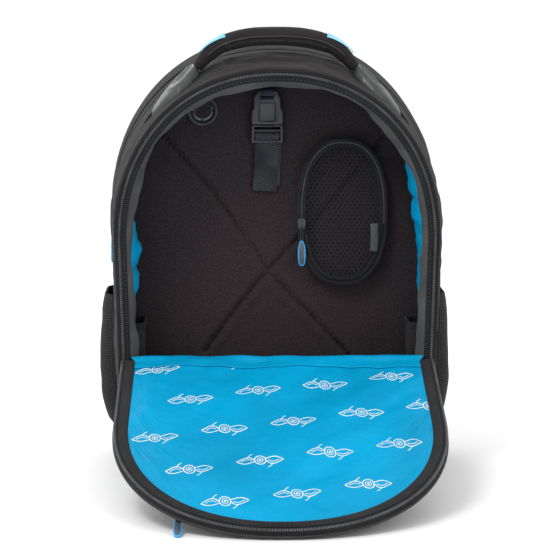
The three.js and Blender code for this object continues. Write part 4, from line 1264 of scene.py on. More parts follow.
def make_pouch():
    face = POUCH_LOW[1]
    front = POUCH_HIGH[1]
    root = DIVIDER_Y - 3.5 * MM
    wall = oval_band("pouch_side", [
        (front - 0.6 * MM, 0.6 * MM), (front + 3 * MM, -0.1 * MM), (front + 8 * MM, 0.2 * MM),
        (root - 3 * MM, -0.6 * MM), (root + 2 * MM, -1.6 * MM), (root + 2 * MM, 3 * MM), (front, 3.6 * MM)])
    finish_piece(wall, SHELL, "bag", ["pouch_gusset"])
    rim = oval_band("pouch_binding", [
        (face + 2.8 * MM, 0.3 * MM), (face + 1.2 * MM, -0.3 * MM), (face + 0.2 * MM, 0.5 * MM),
        (face + 0.1 * MM, 2.2 * MM), (face + 0.8 * MM, 3.2 * MM), (face + 2.8 * MM, 3.3 * MM)])
    finish_piece(rim, DARK_BINDING, "bag", ["pouch_zip_ring"])
    inner = oval_band("pouch_inner_ring", [
        (face + 2.8 * MM, 4.4 * MM), (face + 1.0 * MM, 4.2 * MM), (face + 0.3 * MM, 5.0 * MM),
        (face + 0.3 * MM, 6.9 * MM), (face + 1.1 * MM, 7.8 * MM), (face + 2.8 * MM, 7.8 * MM)])
    finish_piece(inner, DARK_BINDING, "bag")
    bed = oval_band("pouch_zip_bed", [
        (face + 2.8 * MM, 2.8 * MM), (face + 1.7 * MM, 2.8 * MM), (face + 1.7 * MM, 4.8 * MM),
        (face + 2.8 * MM, 4.8 * MM)])
    finish_piece(bed, ZIP_TAPE, "bag")
    loop = oval_loop(3.75 * MM, 400)
    upper = loop[loop[:, 1] > 240 * MM]
    upper = np.stack([upper[:, 0], np.full(len(upper), face + 1.5 * MM), upper[:, 1]], axis=1)
    zip_teeth("pouch_teeth", upper, (0, -1, 0), TEETH, "bag", pitch=1.5 * MM, length=0.9 * MM, wide=1.8 * MM,
              high=0.9 * MM)
    for name, inset in (("pouch_outer_stitches", 1.4 * MM), ("pouch_inner_stitches", 6.0 * MM)):
        ring = oval_loop(inset, 300)
        ring = np.stack([ring[:, 0], np.full(300, face + 0.1 * MM), ring[:, 1]], axis=1)
        stitches(name, ring, (0, -1, 0), THREAD, "bag", 1.8, 1.2, 0.4, closed=True)
    make_net(face)
    lo, hi = low_high("pouch_tag")
    z = np.linspace(lo[2], hi[2], 14)
    x = np.full(14, (lo[0] + hi[0]) / 2) + 1.2 * MM * np.sin(np.linspace(0.4, 2.4, 14))
    middle = np.stack([x, np.full(14, (lo[1] + hi[1]) / 2), z], axis=1)
    tag = strap("pouch_side_tag", middle, hi[0] - lo[0], 1.0 * MM, (0, -1, 0))
    finish_piece(tag, TAG_RUBBER, "bag", ["pouch_tag"])
    line = np.stack([x + 3.2 * MM, np.full(14, lo[1] + 0.25 * MM), z], axis=1)
    stitches("pouch_tag_stitches", line, (0, -1, 0), THREAD_DARK, "bag", 1.6, 1.2, 0.35)


def net_bulge(x, z, face):
    """The y of the net at a place, and how far out in the oval that place lies (1 at its edge)."""
    hx, hz = oval_halves(6 * MM)
    far_x, far_z = np.abs((x - POUCH_X) / hx), np.abs((z - POUCH_Z) / hz)
    size = (far_x ** OVAL_POWER + far_z ** OVAL_POWER) ** (1 / OVAL_POWER)
    sag = np.clip(1 - size, 0, 1)
    return face + 1.9 * MM - 0.7 * MM * np.sin(sag * math.pi / 2), size


def make_net(face):
    """Knitted diamonds: cells between crossing yarns, drawn as flat struts."""
    pitch_x, pitch_z = 4.6 * MM, 3.4 * MM
    verts, edges, index = [], [], {}
    for row in range(-24, 25):
        for column in range(-12, 13):
            for dx, dz, key in ((0.0, 0.22, "a"), (0.0, -0.22, "b")):
                x = POUCH_X + (column + (0.5 if row % 2 else 0)) * pitch_x + dx
                z = POUCH_Z + row * pitch_z + dz * pitch_z
                y, size = net_bulge(x, z, face)
                if size < 1.03:
                    index[(row, column, key)] = len(verts)
                    verts.append((x, y, z))
    for (row, column, key), v in index.items():
        if key == "a" and (row, column, "b") in index:
            edges.append((v, index[(row, column, "b")]))
        if key == "a":
            for side in ((0, -1) if row % 2 == 0 else (0, 1)):
                near = index.get((row + 1, column + side, "b"))
                if near is not None:
                    edges.append((v, near))
    verts = np.array(verts)
    origins = np.array([(verts[a] + verts[b]) / 2 for a, b in edges])
    span = np.array([verts[b] - verts[a] for a, b in edges])
    long = np.linalg.norm(span, axis=1)
    t = span / long[:, None]
    up = np.tile([0.0, -1.0, 0.0], (len(t), 1))
    up -= t * (up * t).sum(axis=1)[:, None]
    up /= np.linalg.norm(up, axis=1)[:, None]
    side = np.cross(up, t)
    half = 0.44 * MM
    base = np.array([(-1, -half, 0), (-1, 0, half), (-1, half, 0), (-1, 0, -half),
                     (1, -half, 0), (1, 0, half), (1, half, 0), (1, 0, -half)])
    faces = [(0, 1, 2, 3), (7, 6, 5, 4), (0, 4, 5, 1), (1, 5, 6, 2), (2, 6, 7, 3), (3, 7, 4, 0)]
    all_verts = (origins[:, None] + t[:, None] * (base[None, :, :1] * (long[:, None, None] / 2 + half * 0.5))
                 + side[:, None] * base[None, :, 1:2] + up[:, None] * base[None, :, 2:])
    all_faces = [tuple(k * 8 + v for v in f) for k in range(len(edges)) for f in faces]
    net = mesh_object("pouch_net", all_verts, all_faces, smooth_shade=False)
    settle(net, outward_faces=False)
    finish_piece(net, NET, "bag", ["pouch_mesh"])


# ---- Pockets ----
def pocket_wall(name, side, lo, hi, finish, replaces, top_edge, corner, puff, seed, inward=False):
    """A pocket's outer cloth: front, side and back in one, drawn in towards the bottom."""
    low, top = lo[2], hi[2]
    reach, root = (lo[0], hi[0]) if inward else (hi[0], lo[0])
    front, back = lo[1], hi[1]
    sign = -1 if inward else 1
    path = [(root, front), (reach - sign * corner, front)]
    for a in np.linspace(-math.pi / 2, 0, 9)[1:]:
        path.append((reach - sign * corner + sign * corner * math.cos(a),
                     front + corner + corner * math.sin(a)))
    for a in np.linspace(0, math.pi / 2, 9):
        path.append((reach - sign * corner + sign * corner * math.cos(a),
                     back - corner + corner * math.sin(a)))
    path.append((root, back))
    path = even(np.array(path), 60)
    z = np.linspace(low, top, 34)
    share = (z - low) / (top - low)
    p = np.zeros((60, 34, 3))
    middle_y = (front + back) / 2
    for j, s in enumerate(share):
        swell = max(0.0, math.sin(math.pi * s ** 0.85)) ** 0.7
        tuck = 1 - 0.55 * (1 - s) ** 3.2 if inward else 0.5 + 0.22 * s + 0.4 * swell * (1 - 0.3 * s)
        p[:, j, 0] = root + (path[:, 0] - root) * tuck
        p[:, j, 1] = middle_y + (path[:, 1] - middle_y) * (1 - 0.06 * (1 - s) ** 3)
        p[:, j, 2] = z[j]
    loose = np.sin(math.pi * share)[None] * np.sin(math.pi * np.linspace(0, 1, 60))[:, None]
    move = loose * (puff * (ripple(p, 0.04, seed) + 0.6 * ripple(p, 0.018, seed + 9)) - puff * 0.4)
    p[..., 0] += sign * move
    p[..., 0] *= side
    cloth = thicken(grid(name, p), (0.8 if inward else 1.6) * MM, 0.0)
    finish_piece(cloth, finish, "bag", replaces)
    wide = (2.4 if inward else 3.0) * MM
    edge = rod(top_edge, p[:, -1] + [0, 0, -1.5 * MM], wide, 6.0 * MM, hint=(0, 0, 1))
    finish_piece(edge, DARK_BINDING, "bag")
    return p


def make_pockets():
    for side, name in ((1, "right"), (-1, "left")):
        lo, hi = low_high("side_pocket_right")
        lo[0] = 148 * MM
        p = pocket_wall(f"side_pocket_cloth_{name}", side, lo, hi, SPACER_MESH, [f"side_pocket_{name}"],
                        f"side_pocket_edge_{name}", 20 * MM, 2.4 * MM, 4.0 + side)
        line = p[2:-2, -5]
        stitches(f"side_pocket_stitches_{name}", line + (line - [0, 34 * MM, 0]) * [0.006, 0, 0], (0, 0, 1),
                 THREAD_DARK, "bag")
        lo, hi = low_high("inner_mesh_pocket_right")
        hi[0] = side_x(hi[2]) - 7 * MM
        lo[2], lo[0] = lo[2] + 2 * MM, lo[0] + 1 * MM
        pocket_wall(f"inner_pocket_net_{name}", side, lo, hi, POCKET_MESH, [f"inner_mesh_pocket_{name}"],
                    f"inner_pocket_edge_{name}", 10 * MM, 1.6 * MM, 14.0 + side, inward=True)


# ---- Carry handle ----
HANDLE_LOW, HANDLE_HIGH = low_high("handle_grip")
HANDLE_Y = (HANDLE_LOW[1] + HANDLE_HIGH[1]) / 2
GRIP_HALF_WIDE, GRIP_HALF_HIGH = 12.2 * MM, 8.6 * MM


def handle_line(count):
    """The middle of the grip, from its left end over the top to its right end."""
    top = HANDLE_HIGH[2] - 7.5 * MM
    end_x, end_z = 76 * MM, 393 * MM
    half = [(1.0, 0.0), (0.86, 0.41), (0.66, 0.76), (0.35, 0.96)]
    right = [(x * end_x, HANDLE_Y, end_z + s * (top - end_z)) for x, s in half]
    left = [(-x, y, z) for x, y, z in right]
    return smooth([*left, (0, HANDLE_Y, top), *right[::-1]], count)


def make_handle():
    """The padded grip, the mesh under its palm, its piped seams and its two pale strips."""
    line = handle_line(90)
    a = np.linspace(0, 2 * math.pi, 40, endpoint=False)
    across = np.sign(np.cos(a)) * np.abs(np.cos(a)) ** 0.72 * GRIP_HALF_WIDE
    upward = np.sign(np.sin(a)) * np.abs(np.sin(a)) ** 0.8 * GRIP_HALF_HIGH
    _, side, up = frames(line, hint=(0, 0, 1))
    share = np.linspace(0, 1, 90)
    slim = 1 - 0.4 * np.abs(2 * share - 1) ** 4
    crease = 1 + 0.02 * ripple(line, 0.012, 5.0)
    p = (line[:, None] + side[:, None] * (across[None] * slim[:, None])[..., None]
         + up[:, None] * (upward[None] * (slim * crease)[:, None])[..., None])
    grip = settle(grid("handle_padded_grip", p, close_v=True, cap=True))
    finish_piece(grip, SHELL, "handle", ["handle_grip"])
    low = a[(a > math.pi * 1.08) & (a < math.pi * 1.92)]
    under_x = np.sign(np.cos(low)) * np.abs(np.cos(low)) ** 0.72 * 12.5 * MM
    under_z = np.sign(np.sin(low)) * np.abs(np.sin(low)) ** 0.8 * 8.95 * MM
    inner = slice(18, 72)
    p2 = (line[inner, None] + side[inner, None] * (under_x[None] * slim[inner, None])[..., None]
          + up[inner, None] * (under_z[None] * (slim * crease)[inner, None])[..., None])
    under = thicken(grid("handle_under_mesh", p2), 0.7 * MM, 0.0)
    finish_piece(under, SPACER_MESH, "handle")
    for sign, name in ((1, "front"), (-1, "back")):
        seam = line + side * (12.3 * MM * slim * sign)[:, None] + up * (-0.6 * MM)
        tube = rod(f"handle_seam_piping_{name}", seam[8:-8], 2.2 * MM, sides=8, hint=(0, 0, 1))
        finish_piece(tube, PIPING, "handle")
    for sign, name in ((1, "right"), (-1, "left")):
        make_accent(line, side, up, sign, name)


def make_accent(line, side, up, sign, name):
    """A tapered pale strip, wrapped over the front shoulder of the grip near its end."""
    inside = np.where((line[:, 0] * sign > 46 * MM) & (line[:, 0] * sign < 69 * MM))[0]
    pick = np.linspace(inside[0], inside[-1], 20)
    at, s, u = (np.array([[np.interp(k, range(len(line)), v[:, c]) for c in range(3)] for k in pick])
                for v in (line, side, up))
    s = s * np.sign(-s[:, 1:2])
    reach = np.abs(at[:, 0])
    share = (reach - reach.min()) / (reach.max() - reach.min())
    low_turn = np.radians(np.interp(share, [0, 1], [30, 58]))
    high_turn = np.radians(np.interp(share, [0, 1], [92, 62]))
    rings = []
    for lift in (0.0, 0.7 * MM):
        for q in np.linspace(0, 1, 7)[::1 if lift else -1]:
            a = low_turn + (high_turn - low_turn) * q
            across = np.sign(np.cos(a)) * np.abs(np.cos(a)) ** 0.72 * (GRIP_HALF_WIDE + lift)
            upward = np.abs(np.sin(a)) ** 0.8 * (GRIP_HALF_HIGH + lift)
            rings.append(at + s * across[:, None] + u * upward[:, None])
    strip = settle(grid(f"handle_blue_strip_{name}", np.stack(rings, axis=1), close_v=True, cap=True))
    finish_piece(strip, ACCENT, "handle", [f"handle_accent_{name}"])


def make_anchors():
    """Moulded ends of the handle, each bent over the shoulder of the bag."""
    n, rows = 40, 25
    for sign, name in ((1, "right"), (-1, "left")):
        lo, hi = low_high(f"handle_anchor_{name}")
        s = np.linspace(0, 1, n)
        xs = (74 + 45 * s) * MM  # from the grip's end outward
        back = (lo[1] + hi[1]) / 2 - RIM_Y
        surface = arch_height(xs / (1 + WIDEN * back)) * (1 + RISE * back)
        near = np.interp(s, [0, 0.15, 0.4, 0.75, 1], [-46, -54, -61, -57, -50]) * MM
        far = np.interp(s, [0, 0.15, 0.4, 0.75, 1], [-17, -10, -6, -10, -20]) * MM
        v = np.linspace(0, 1, rows)
        ys = near[:, None] + (far - near)[:, None] * v[None]
        rise = (ys - (lo[1] + hi[1]) / 2) * RISE * surface[:, None]
        cross = np.clip(1 - np.abs(2 * v - 1) ** 4, 0, 1)[None] ** 0.6
        ends = np.clip(np.minimum(s, 1 - s) / 0.08, 0, 1)[:, None] ** 0.5
        hump = np.interp(s, [0, 0.2, 0.45, 0.8, 1], [15.5, 13.5, 9.5, 5.5, 3.4])[:, None] * MM
        top = hump * (0.35 + 0.65 * cross) * (0.5 + 0.5 * ends)
        u2, v2 = (s[:, None] - 0.30) / 0.20, (v[None] - 0.36) / 0.22
        dish = np.sqrt(u2 ** 2 + v2 ** 2)
        top = top - 3.4 * MM * np.clip(1.15 - dish, 0, 1) + 1.0 * MM * np.exp(-(((dish - 1.25) / 0.22) ** 2))
        for groove in (0.80, 0.86):
            top = top - 0.7 * MM * np.exp(-(((s[:, None] - groove) / 0.012) ** 2)) * cross
        p = np.zeros((n, rows, 3))
        p[..., 0] = sign * (xs[:, None] + top * np.linspace(0.1, 0.75, n)[:, None])
        p[..., 1] = ys
        p[..., 2] = surface[:, None] + rise + 0.6 * MM + top
        low = p.copy()
        low[..., 2] = surface[:, None] + rise - 1.5 * MM
        low[..., 0] = sign * xs[:, None]
        loop = np.concatenate([p, low[:, ::-1]], axis=1)
        obj = settle(grid(f"handle_moulded_end_{name}", loop, close_v=True, cap=True))
        finish_piece(obj, RUBBER, "bag", [f"handle_anchor_{name}"])
        rivet = drum(f"handle_rivet_{name}", p[6, 17], 1.6 * MM, 2.2 * MM, "Z", 20)
        finish_piece(rivet, RUBBER_DARK, "bag")
        tip = p[-1, rows // 2]
        tab = np.array([tip + [-sign * 4 * MM, 0, 4.2 * MM], tip + [sign * 1.5 * MM, 0, 0.6 * MM],
                        tip + [sign * 7 * MM, 0, -8 * MM]])
        sewn = strap(f"handle_end_tab_{name}", smooth(tab, 12), 20 * MM, 1.6 * MM, (sign * 0.6, 0, 0.8))
        finish_piece(sewn, WEBBING, "bag")


# ---- Solid shapes made by hand tools ----
def rounded_box(name, lo, hi, bevel=0.8 * MM):
    lo, hi = np.array(lo, float), np.array(hi, float)
    bpy.ops.object.select_all(action="DESELECT")
    bpy.ops.mesh.primitive_cube_add(size=1, location=tuple((lo + hi) / 2))
    obj = bpy.context.object
    obj.name = name
    obj.scale = tuple(hi - lo)
    bpy.ops.object.transform_apply(location=True, scale=True)
    modify(obj, "BEVEL", width=bevel, segments=3, limit_method="ANGLE")
    obj.data.shade_smooth()
    return obj


def drum(name, centre, radius, long, axis="X", sides=28):
    turn = {"X": (0, math.pi / 2, 0), "Y": (math.pi / 2, 0, 0), "Z": (0, 0, 0)}[axis]
    bpy.ops.object.select_all(action="DESELECT")
    bpy.ops.mesh.primitive_cylinder_add(vertices=sides, radius=radius, depth=long, location=tuple(centre),
                                        rotation=turn)
    obj = bpy.context.object
    obj.name = name
    bpy.ops.object.transform_apply(location=True, rotation=True)
    modify(obj, "BEVEL", width=0.3 * MM, segments=2, limit_method="ANGLE")
    obj.data.shade_smooth()
    return obj


def cut_out(obj, cutter):
    use(obj)
    mod = obj.modifiers.new("cut", "BOOLEAN")
    mod.operation, mod.object, mod.solver = "DIFFERENCE", cutter, "EXACT"
    bpy.ops.object.modifier_apply(modifier=mod.name)
    bpy.data.objects.remove(cutter, do_unlink=True)
    return obj


def plate(name, outline, y0, y1, bevel=0.8 * MM, segments=3):
    """A flat piece drawn in x and z, made thick along y."""
    outline = np.asarray(outline, float)
    n = len(outline)
    verts = np.concatenate([np.stack([outline[:, 0], np.full(n, y), outline[:, 1]], axis=1)
                            for y in (y0, y1)])
    faces = [tuple(range(n)), tuple(range(2 * n - 1, n - 1, -1))]
    faces += [(i, n + i, n + (i + 1) % n, (i + 1) % n) for i in range(n)]
    obj = settle(mesh_object(name, verts, faces))
    if bevel:
        modify(obj, "BEVEL", width=bevel, segments=segments, limit_method="ANGLE",
               angle_limit=math.radians(50))
    return obj


# ---- Headset strap and its buckle ----
def mirror_outline(points, x):
    right = [(x + dx * MM, z * MM) for dx, z in points]
    left = [(x - dx * MM, z * MM) for dx, z in points[::-1]]
    return right + left


def make_buckle():
    socket_low, socket_high = low_high("buckle_socket")
    x = (socket_low[0] + socket_high[0]) / 2
    y0, y1 = socket_low[1], socket_high[1]
    mid = (y0 + y1) / 2
    lo, hi = low_high("strap_tab")
    z = np.linspace(lo[2] + 0.4 * MM, hi[2] + 3 * MM, 12)
    line = np.stack([np.full(12, x), np.full(12, mid), z], axis=1)
    tab = strap("headset_strap_tab", line, 17 * MM, 3.2 * MM, (0, -1, 0))
    finish_piece(tab, WEBBING, "bag", ["strap_tab"])
    body = plate("buckle_socket_body", mirror_outline([
        (7.5, 336.4), (15.4, 336.4), (15.6, 340), (15.4, 350), (13.4, 352.4), (13.0, 360), (13.2, 362.6),
        (9.4, 369.6), (6.8, 369.9)], x), y0 + 0.4 * MM, y1 - 0.4 * MM, 1.3 * MM)
    cut_out(body, rounded_box("mouth", (x - 11.5 * MM, mid - 2.9 * MM, 335 * MM),
                              (x + 11.5 * MM, mid + 2.9 * MM, 355 * MM)))
    for sign in (1, -1):
        cut_out(body, rounded_box("window", (x + sign * 16 * MM - 6.2 * MM, mid - 3.4 * MM, 341 * MM),
                                  (x + sign * 16 * MM + 6.2 * MM, mid + 3.4 * MM, 350.6 * MM), 1.5 * MM))
    cut_out(body, rounded_box("pin_gap", (x - 6.4 * MM, y0 - 1 * MM, 363.4 * MM),
                              (x + 6.4 * MM, y1 + 1 * MM, 366 * MM), 0.6 * MM))
    cut_out(body, rounded_box("face_hollow", (x - 7.6 * MM, y0 - 2 * MM, 339.4 * MM),
                              (x + 7.6 * MM, y0 + 1.2 * MM, 357.6 * MM), 1.0 * MM))
    finish_piece(body, BUCKLE, "headset_strap", ["buckle_socket"])
    loop = np.array([(x, y0 + 1.0 * MM, 364.7 * MM), (x, y0 - 0.2 * MM, 368 * MM),
                     (x, mid - 2.4 * MM, 370.6 * MM)])
    web = strap("buckle_socket_webbing", smooth(loop, 14), 13 * MM, 1.5 * MM, (0, -1, 0.4))
    finish_piece(web, WEBBING, "headset_strap")
    make_plug(x, mid)


def make_plug(x, mid):
    """The plug with its two prongs, and the webbing through its ladder."""
    outline = mirror_outline([(15.3, 318.4), (15.5, 322), (15.3, 335.9), (12.0, 336.2), (4.0, 335.6)], x)
    ladder = plate("buckle_plug_ladder", outline, mid - 3.4 * MM, mid + 3.4 * MM, 0.9 * MM)
    for low in (321.4, 327.0, 331.6):
        cut_out(ladder, rounded_box("slot", (x - 12.6 * MM, mid - 6 * MM, low * MM),
                                    (x + 12.6 * MM, mid + 6 * MM, (low + 2.6) * MM), 0.5 * MM))
    finish_piece(ladder, BUCKLE, "buckle_end", ["buckle_plug"])
    for sign, name in ((1, "right"), (-1, "left")):
        outline = [(x + sign * dx * MM, z * MM) for dx, z in (
            (6.0, 335.0), (10.0, 335.2), (11.0, 339.4), (10.9, 346.0), (9.4, 353.4), (8.0, 353.8),
            (6.9, 351.6), (7.6, 343.6), (6.4, 339.6))]
        prong = plate(f"buckle_prong_{name}", outline, mid - 2.2 * MM, mid + 2.2 * MM, 0.7 * MM)
        finish_piece(prong, BUCKLE, "buckle_end")
    rail = rounded_box("buckle_centre_rail", (x - 1.6 * MM, mid - 1.6 * MM, 334.8 * MM),
                       (x + 1.6 * MM, mid + 1.6 * MM, 352 * MM), 0.6 * MM)
    finish_piece(rail, BUCKLE, "buckle_end")
    wlo, whi = low_high("strap_webbing")
    back = (wlo[1] + whi[1]) / 2
    front_web = np.array([
        (x, mid + 2.4 * MM, 329.8 * MM), (x, mid - 3.2 * MM, 327.4 * MM), (x, mid - 4.6 * MM, 325.6 * MM),
        (x, mid - 3.4 * MM, 322.6 * MM), (x, mid + 0.6 * MM, 320.4 * MM),
        (x - 0.4 * MM, back - 3 * MM, 314 * MM), (x - 1.4 * MM, back - 3.2 * MM, 292 * MM),
        (x - 2.4 * MM, back - 3.0 * MM, wlo[2] + 1 * MM)])
    web = strap("headset_webbing_front", smooth(front_web, 90), 23.6 * MM, 1.5 * MM, (0, -1, 0))
    finish_piece(web, WEBBING, "buckle_end", ["strap_webbing"])
    under = np.array([(x + 2.4 * MM, back - 1.2 * MM, 319 * MM), (x + 1.8 * MM, back - 1.2 * MM, 300 * MM),
                      (x + 0.4 * MM, back - 1.2 * MM, 276 * MM)])
    layer = strap("headset_webbing_back", smooth(under, 40), 23.6 * MM, 1.4 * MM, (0, -1, 0))
    finish_piece(layer, WEBBING, "buckle_end")
    for k, height in enumerate((273.5, 277.5)):
        line = np.stack([np.linspace(x - 12 * MM, x + 8 * MM, 20), np.full(20, back - 3.9 * MM),
                         np.full(20, height * MM)], axis=1)
        stitches(f"webbing_end_stitches_{k + 1}", line, (0, -1, 0), THREAD, "buckle_end", 1.8, 1.1, 0.4)


# ---- Zip sliders and pulls ----
def placed(objs, matrix):
    """Joins the parts of a piece and sets it in place."""
    bpy.ops.object.select_all(action="DESELECT")
    for obj in objs:
        obj.select_set(True)
    bpy.context.view_layer.objects.active = objs[0]
    if len(objs) > 1:
        bpy.ops.object.join()
    obj = bpy.context.object
    obj.data.transform(matrix)
    return obj


def frame_matrix(origin, out, up):
    """A frame whose -y looks out and whose z looks up."""
    out, up = Vector(out).normalized(), Vector(up).normalized()
    side = (-out).cross(up)
    m = Matrix((side, -out, up)).transposed().to_4x4()
    m.translation = Vector(origin)
    return m


def make_slider(name, origin, out, up, body_name):
    """Slider body with its two arched cheeks and bridge; back on the origin plane."""
    m = frame_matrix(origin, out, up)
    shape = [(-3.9, 1.5), (-3.2, 4.6), (-1.2, 5.3), (1.2, 5.3), (3.2, 4.6), (3.9, 1.5), (3.1, -4.6),
             (2.2, -5.3), (-2.2, -5.3), (-3.1, -4.6)]
    shape = [(a * MM, b * MM) for a, b in shape]
    lower = plate("slider_lower", shape, -1.2 * MM, -0.1 * MM, 0.3 * MM, 2)
    upper = plate("slider_upper", shape, -3.2 * MM, -2.2 * MM, 0.35 * MM, 2)
    core = rounded_box("slider_core", (-1.3 * MM, -2.4 * MM, -1.5 * MM), (1.3 * MM, -1.0 * MM, 4.6 * MM),
                       0.2 * MM)
    arch = np.array([(0, -3.0, 3.6), (0, -4.2, 2.6), (0, -4.35, 0), (0, -4.2, -3.2), (0, -3.0, -4.4)]) * MM
    bridge = rod("slider_bridge", smooth(arch, 16), 1.7 * MM, 1.0 * MM, sides=8, hint=(0, -1, 0.01))
    obj = placed([lower, upper, core, bridge], m)
    obj.name = f"{name}_zip_slider"
    return finish_piece(obj, METAL, body_name, [body_name])


def make_pull(name, origin, out, up, body_name):
    """Cord loop and moulded pull, hanging along -z from its hinge point."""
    m = frame_matrix(origin, out, up)
    loop = []
    for side in (-1, 1):
        column = [(side * 0.5, -0.9, 0.6), (side * 0.95, -1.1, -1.6), (side * 1.1, -1.2, -5.0),
                  (side * 1.0, -1.2, -10.6)]
        loop.append(column if side < 0 else column[::-1])
    cord_points = smooth(np.array(loop[0] + loop[1]) * MM, 46, closed=True)
    cord = rod("pull_cord", cord_points, 1.15 * MM, sides=8, closed=True)
    cord.data.transform(m)
    cord.name = f"{name}_pull_cord"
    finish_piece(cord, RUBBER_DARK, body_name)
    a = np.linspace(0, 2 * math.pi, 40, endpoint=False)
    mid_z, half_long = -22.2, 12.6

    def outline(grow):
        x = (3.9 - grow) * np.sign(np.cos(a)) * np.abs(np.cos(a)) ** 0.62
        z = mid_z + (half_long - grow) * np.sign(np.sin(a)) * np.abs(np.sin(a)) ** 0.8
        slim = np.where(z > mid_z, 1 - 0.32 * ((z - mid_z) / half_long) ** 2, 1.0)
        return np.stack([x * slim, z], axis=1) * MM

    shell = plate("pull_shell", outline(0.0), -2.2 * MM, -0.1 * MM, 0.6 * MM)
    shell.data.transform(m)
    shell.name = f"{name}_pull_grip"
    finish_piece(shell, PULL_BLUE, body_name, [body_name])
    parts = []
    for y0, y1 in ((-2.34, -2.1), (-0.16, 0.04)):
        parts.append(plate("pull_inlay", outline(1.15), y0 * MM, y1 * MM, 0.1 * MM, 1))
    for k in range(5):
        z = mid_z - 6.4 + k * 3.0
        parts.append(rounded_box("rib", (-1.9 * MM, -2.6 * MM, (z - 0.45) * MM),
                                 (1.9 * MM, -2.2 * MM, (z + 0.45) * MM), 0.15 * MM))
    inlay = placed(parts, m)
    inlay.name = f"{name}_pull_inlay"
    return finish_piece(inlay, PULL_GREY, body_name)


def joint_point(name):
    return np.array(JOINTS[name]["pos_m"])


def make_sliders():
    flap_out = folded([[0, -1, HINGE[2]]])[0] - folded([[0, 0, HINGE[2]]])[0]
    flap_up = folded([[0, 0, HINGE[2] + 1]])[0] - folded([[0, 0, HINGE[2]]])[0]
    for name, out, up in (
        ("main_left", (0, -1, 0), (0, 0, 1)), ("main_right", (0, -1, 0), (0, 0, 1)),
        ("side", (-1, 0, 0), (0, 0, 1)), ("pouch", (0, -1, 0), (0, 0, 1)), ("pocket", flap_out, flap_up),
    ):
        out, up = np.array(out, float), np.array(up, float)
        if name == "pocket":
            up = -up
        pivot = joint_point(f"{name}_pull_swing")
        slider_origin = pivot - out * 3.35 * MM + up * 6.9 * MM
        make_slider(name, slider_origin, out, up, f"{name}_slider")
        make_pull(name, pivot - out * 1.1 * MM, out, up, f"{name}_pull")


# ---- The back: pads, straps and what they are sewn to ----
def cushion(name, x0, x1, z0, z1, y0, thick, radius, finish, body, replaces, groove=None):
    """A sewn pad: flat at its back, full in the middle, thin at its sewn edge."""
    half_x, half_z = (x1 - x0) / 2, (z1 - z0) / 2
    cx, cz = (x0 + x1) / 2, (z0 + z1) / 2
    a = np.sin(np.linspace(-math.pi / 2, math.pi / 2, 46))[:, None]
    b = np.sin(np.linspace(-math.pi / 2, math.pi / 2, 60))[None, :]
    x = cx + half_x * a * np.ones_like(b)
    z = cz + half_z * b * np.ones_like(a)
    ax, az = np.abs(x - cx), np.abs(z - cz)
    corner_x, corner_z = half_x - radius, half_z - radius
    in_corner = (ax > corner_x) & (az > corner_z)
    reach = np.hypot(ax - corner_x, az - corner_z)
    pull = np.where(in_corner & (reach > radius), radius / np.maximum(reach, 1e-9), 1.0)
    ax2 = np.where(in_corner, corner_x + (ax - corner_x) * pull, ax)
    az2 = np.where(in_corner, corner_z + (az - corner_z) * pull, az)
    x, z = cx + np.sign(x - cx) * ax2, cz + np.sign(z - cz) * az2
    edge = np.where(in_corner, radius - np.minimum(reach, radius), np.minimum(half_x - ax2, half_z - az2))

    def crown(xx, zz, ee):
        rise = 1.6 * MM + (thick - 1.6 * MM) * (1 - np.exp(-ee / (7 * MM)))
        p = np.stack([xx, 0 * xx, zz], axis=-1)
        y = y0 + rise + 0.4 * MM * ripple(p, 0.03, x0 * 50 + 3) * (ee > 2 * MM)
        if groove is not None:
            y = y - (thick * 0.45) * np.exp(-((groove(xx, zz) / (3.2 * MM)) ** 2))
        return y

    obj = panel(name, (x, z, edge), y0, crown, place=on_body)
    finish_piece(obj, finish, body, replaces)
    return obj


def outline_stitches(name, x0, x1, z0, z1, y, inset, body, radius):
    r = radius - inset
    corners = ((x1 - radius, z0 + radius, -math.pi / 2), (x1 - radius, z1 - radius, 0.0),
               (x0 + radius, z1 - radius, math.pi / 2), (x0 + radius, z0 + radius, math.pi))
    ring = np.vstack([curve_arc(cx, cz, r, r, a, a + math.pi / 2, 12) for cx, cz, a in corners])
    ring = even(ring, 220, closed=True)
    stitches(name, np.stack([ring[:, 0], np.full(220, y), ring[:, 1]], axis=1), (0, 1, 0), THREAD, body,
             closed=True)


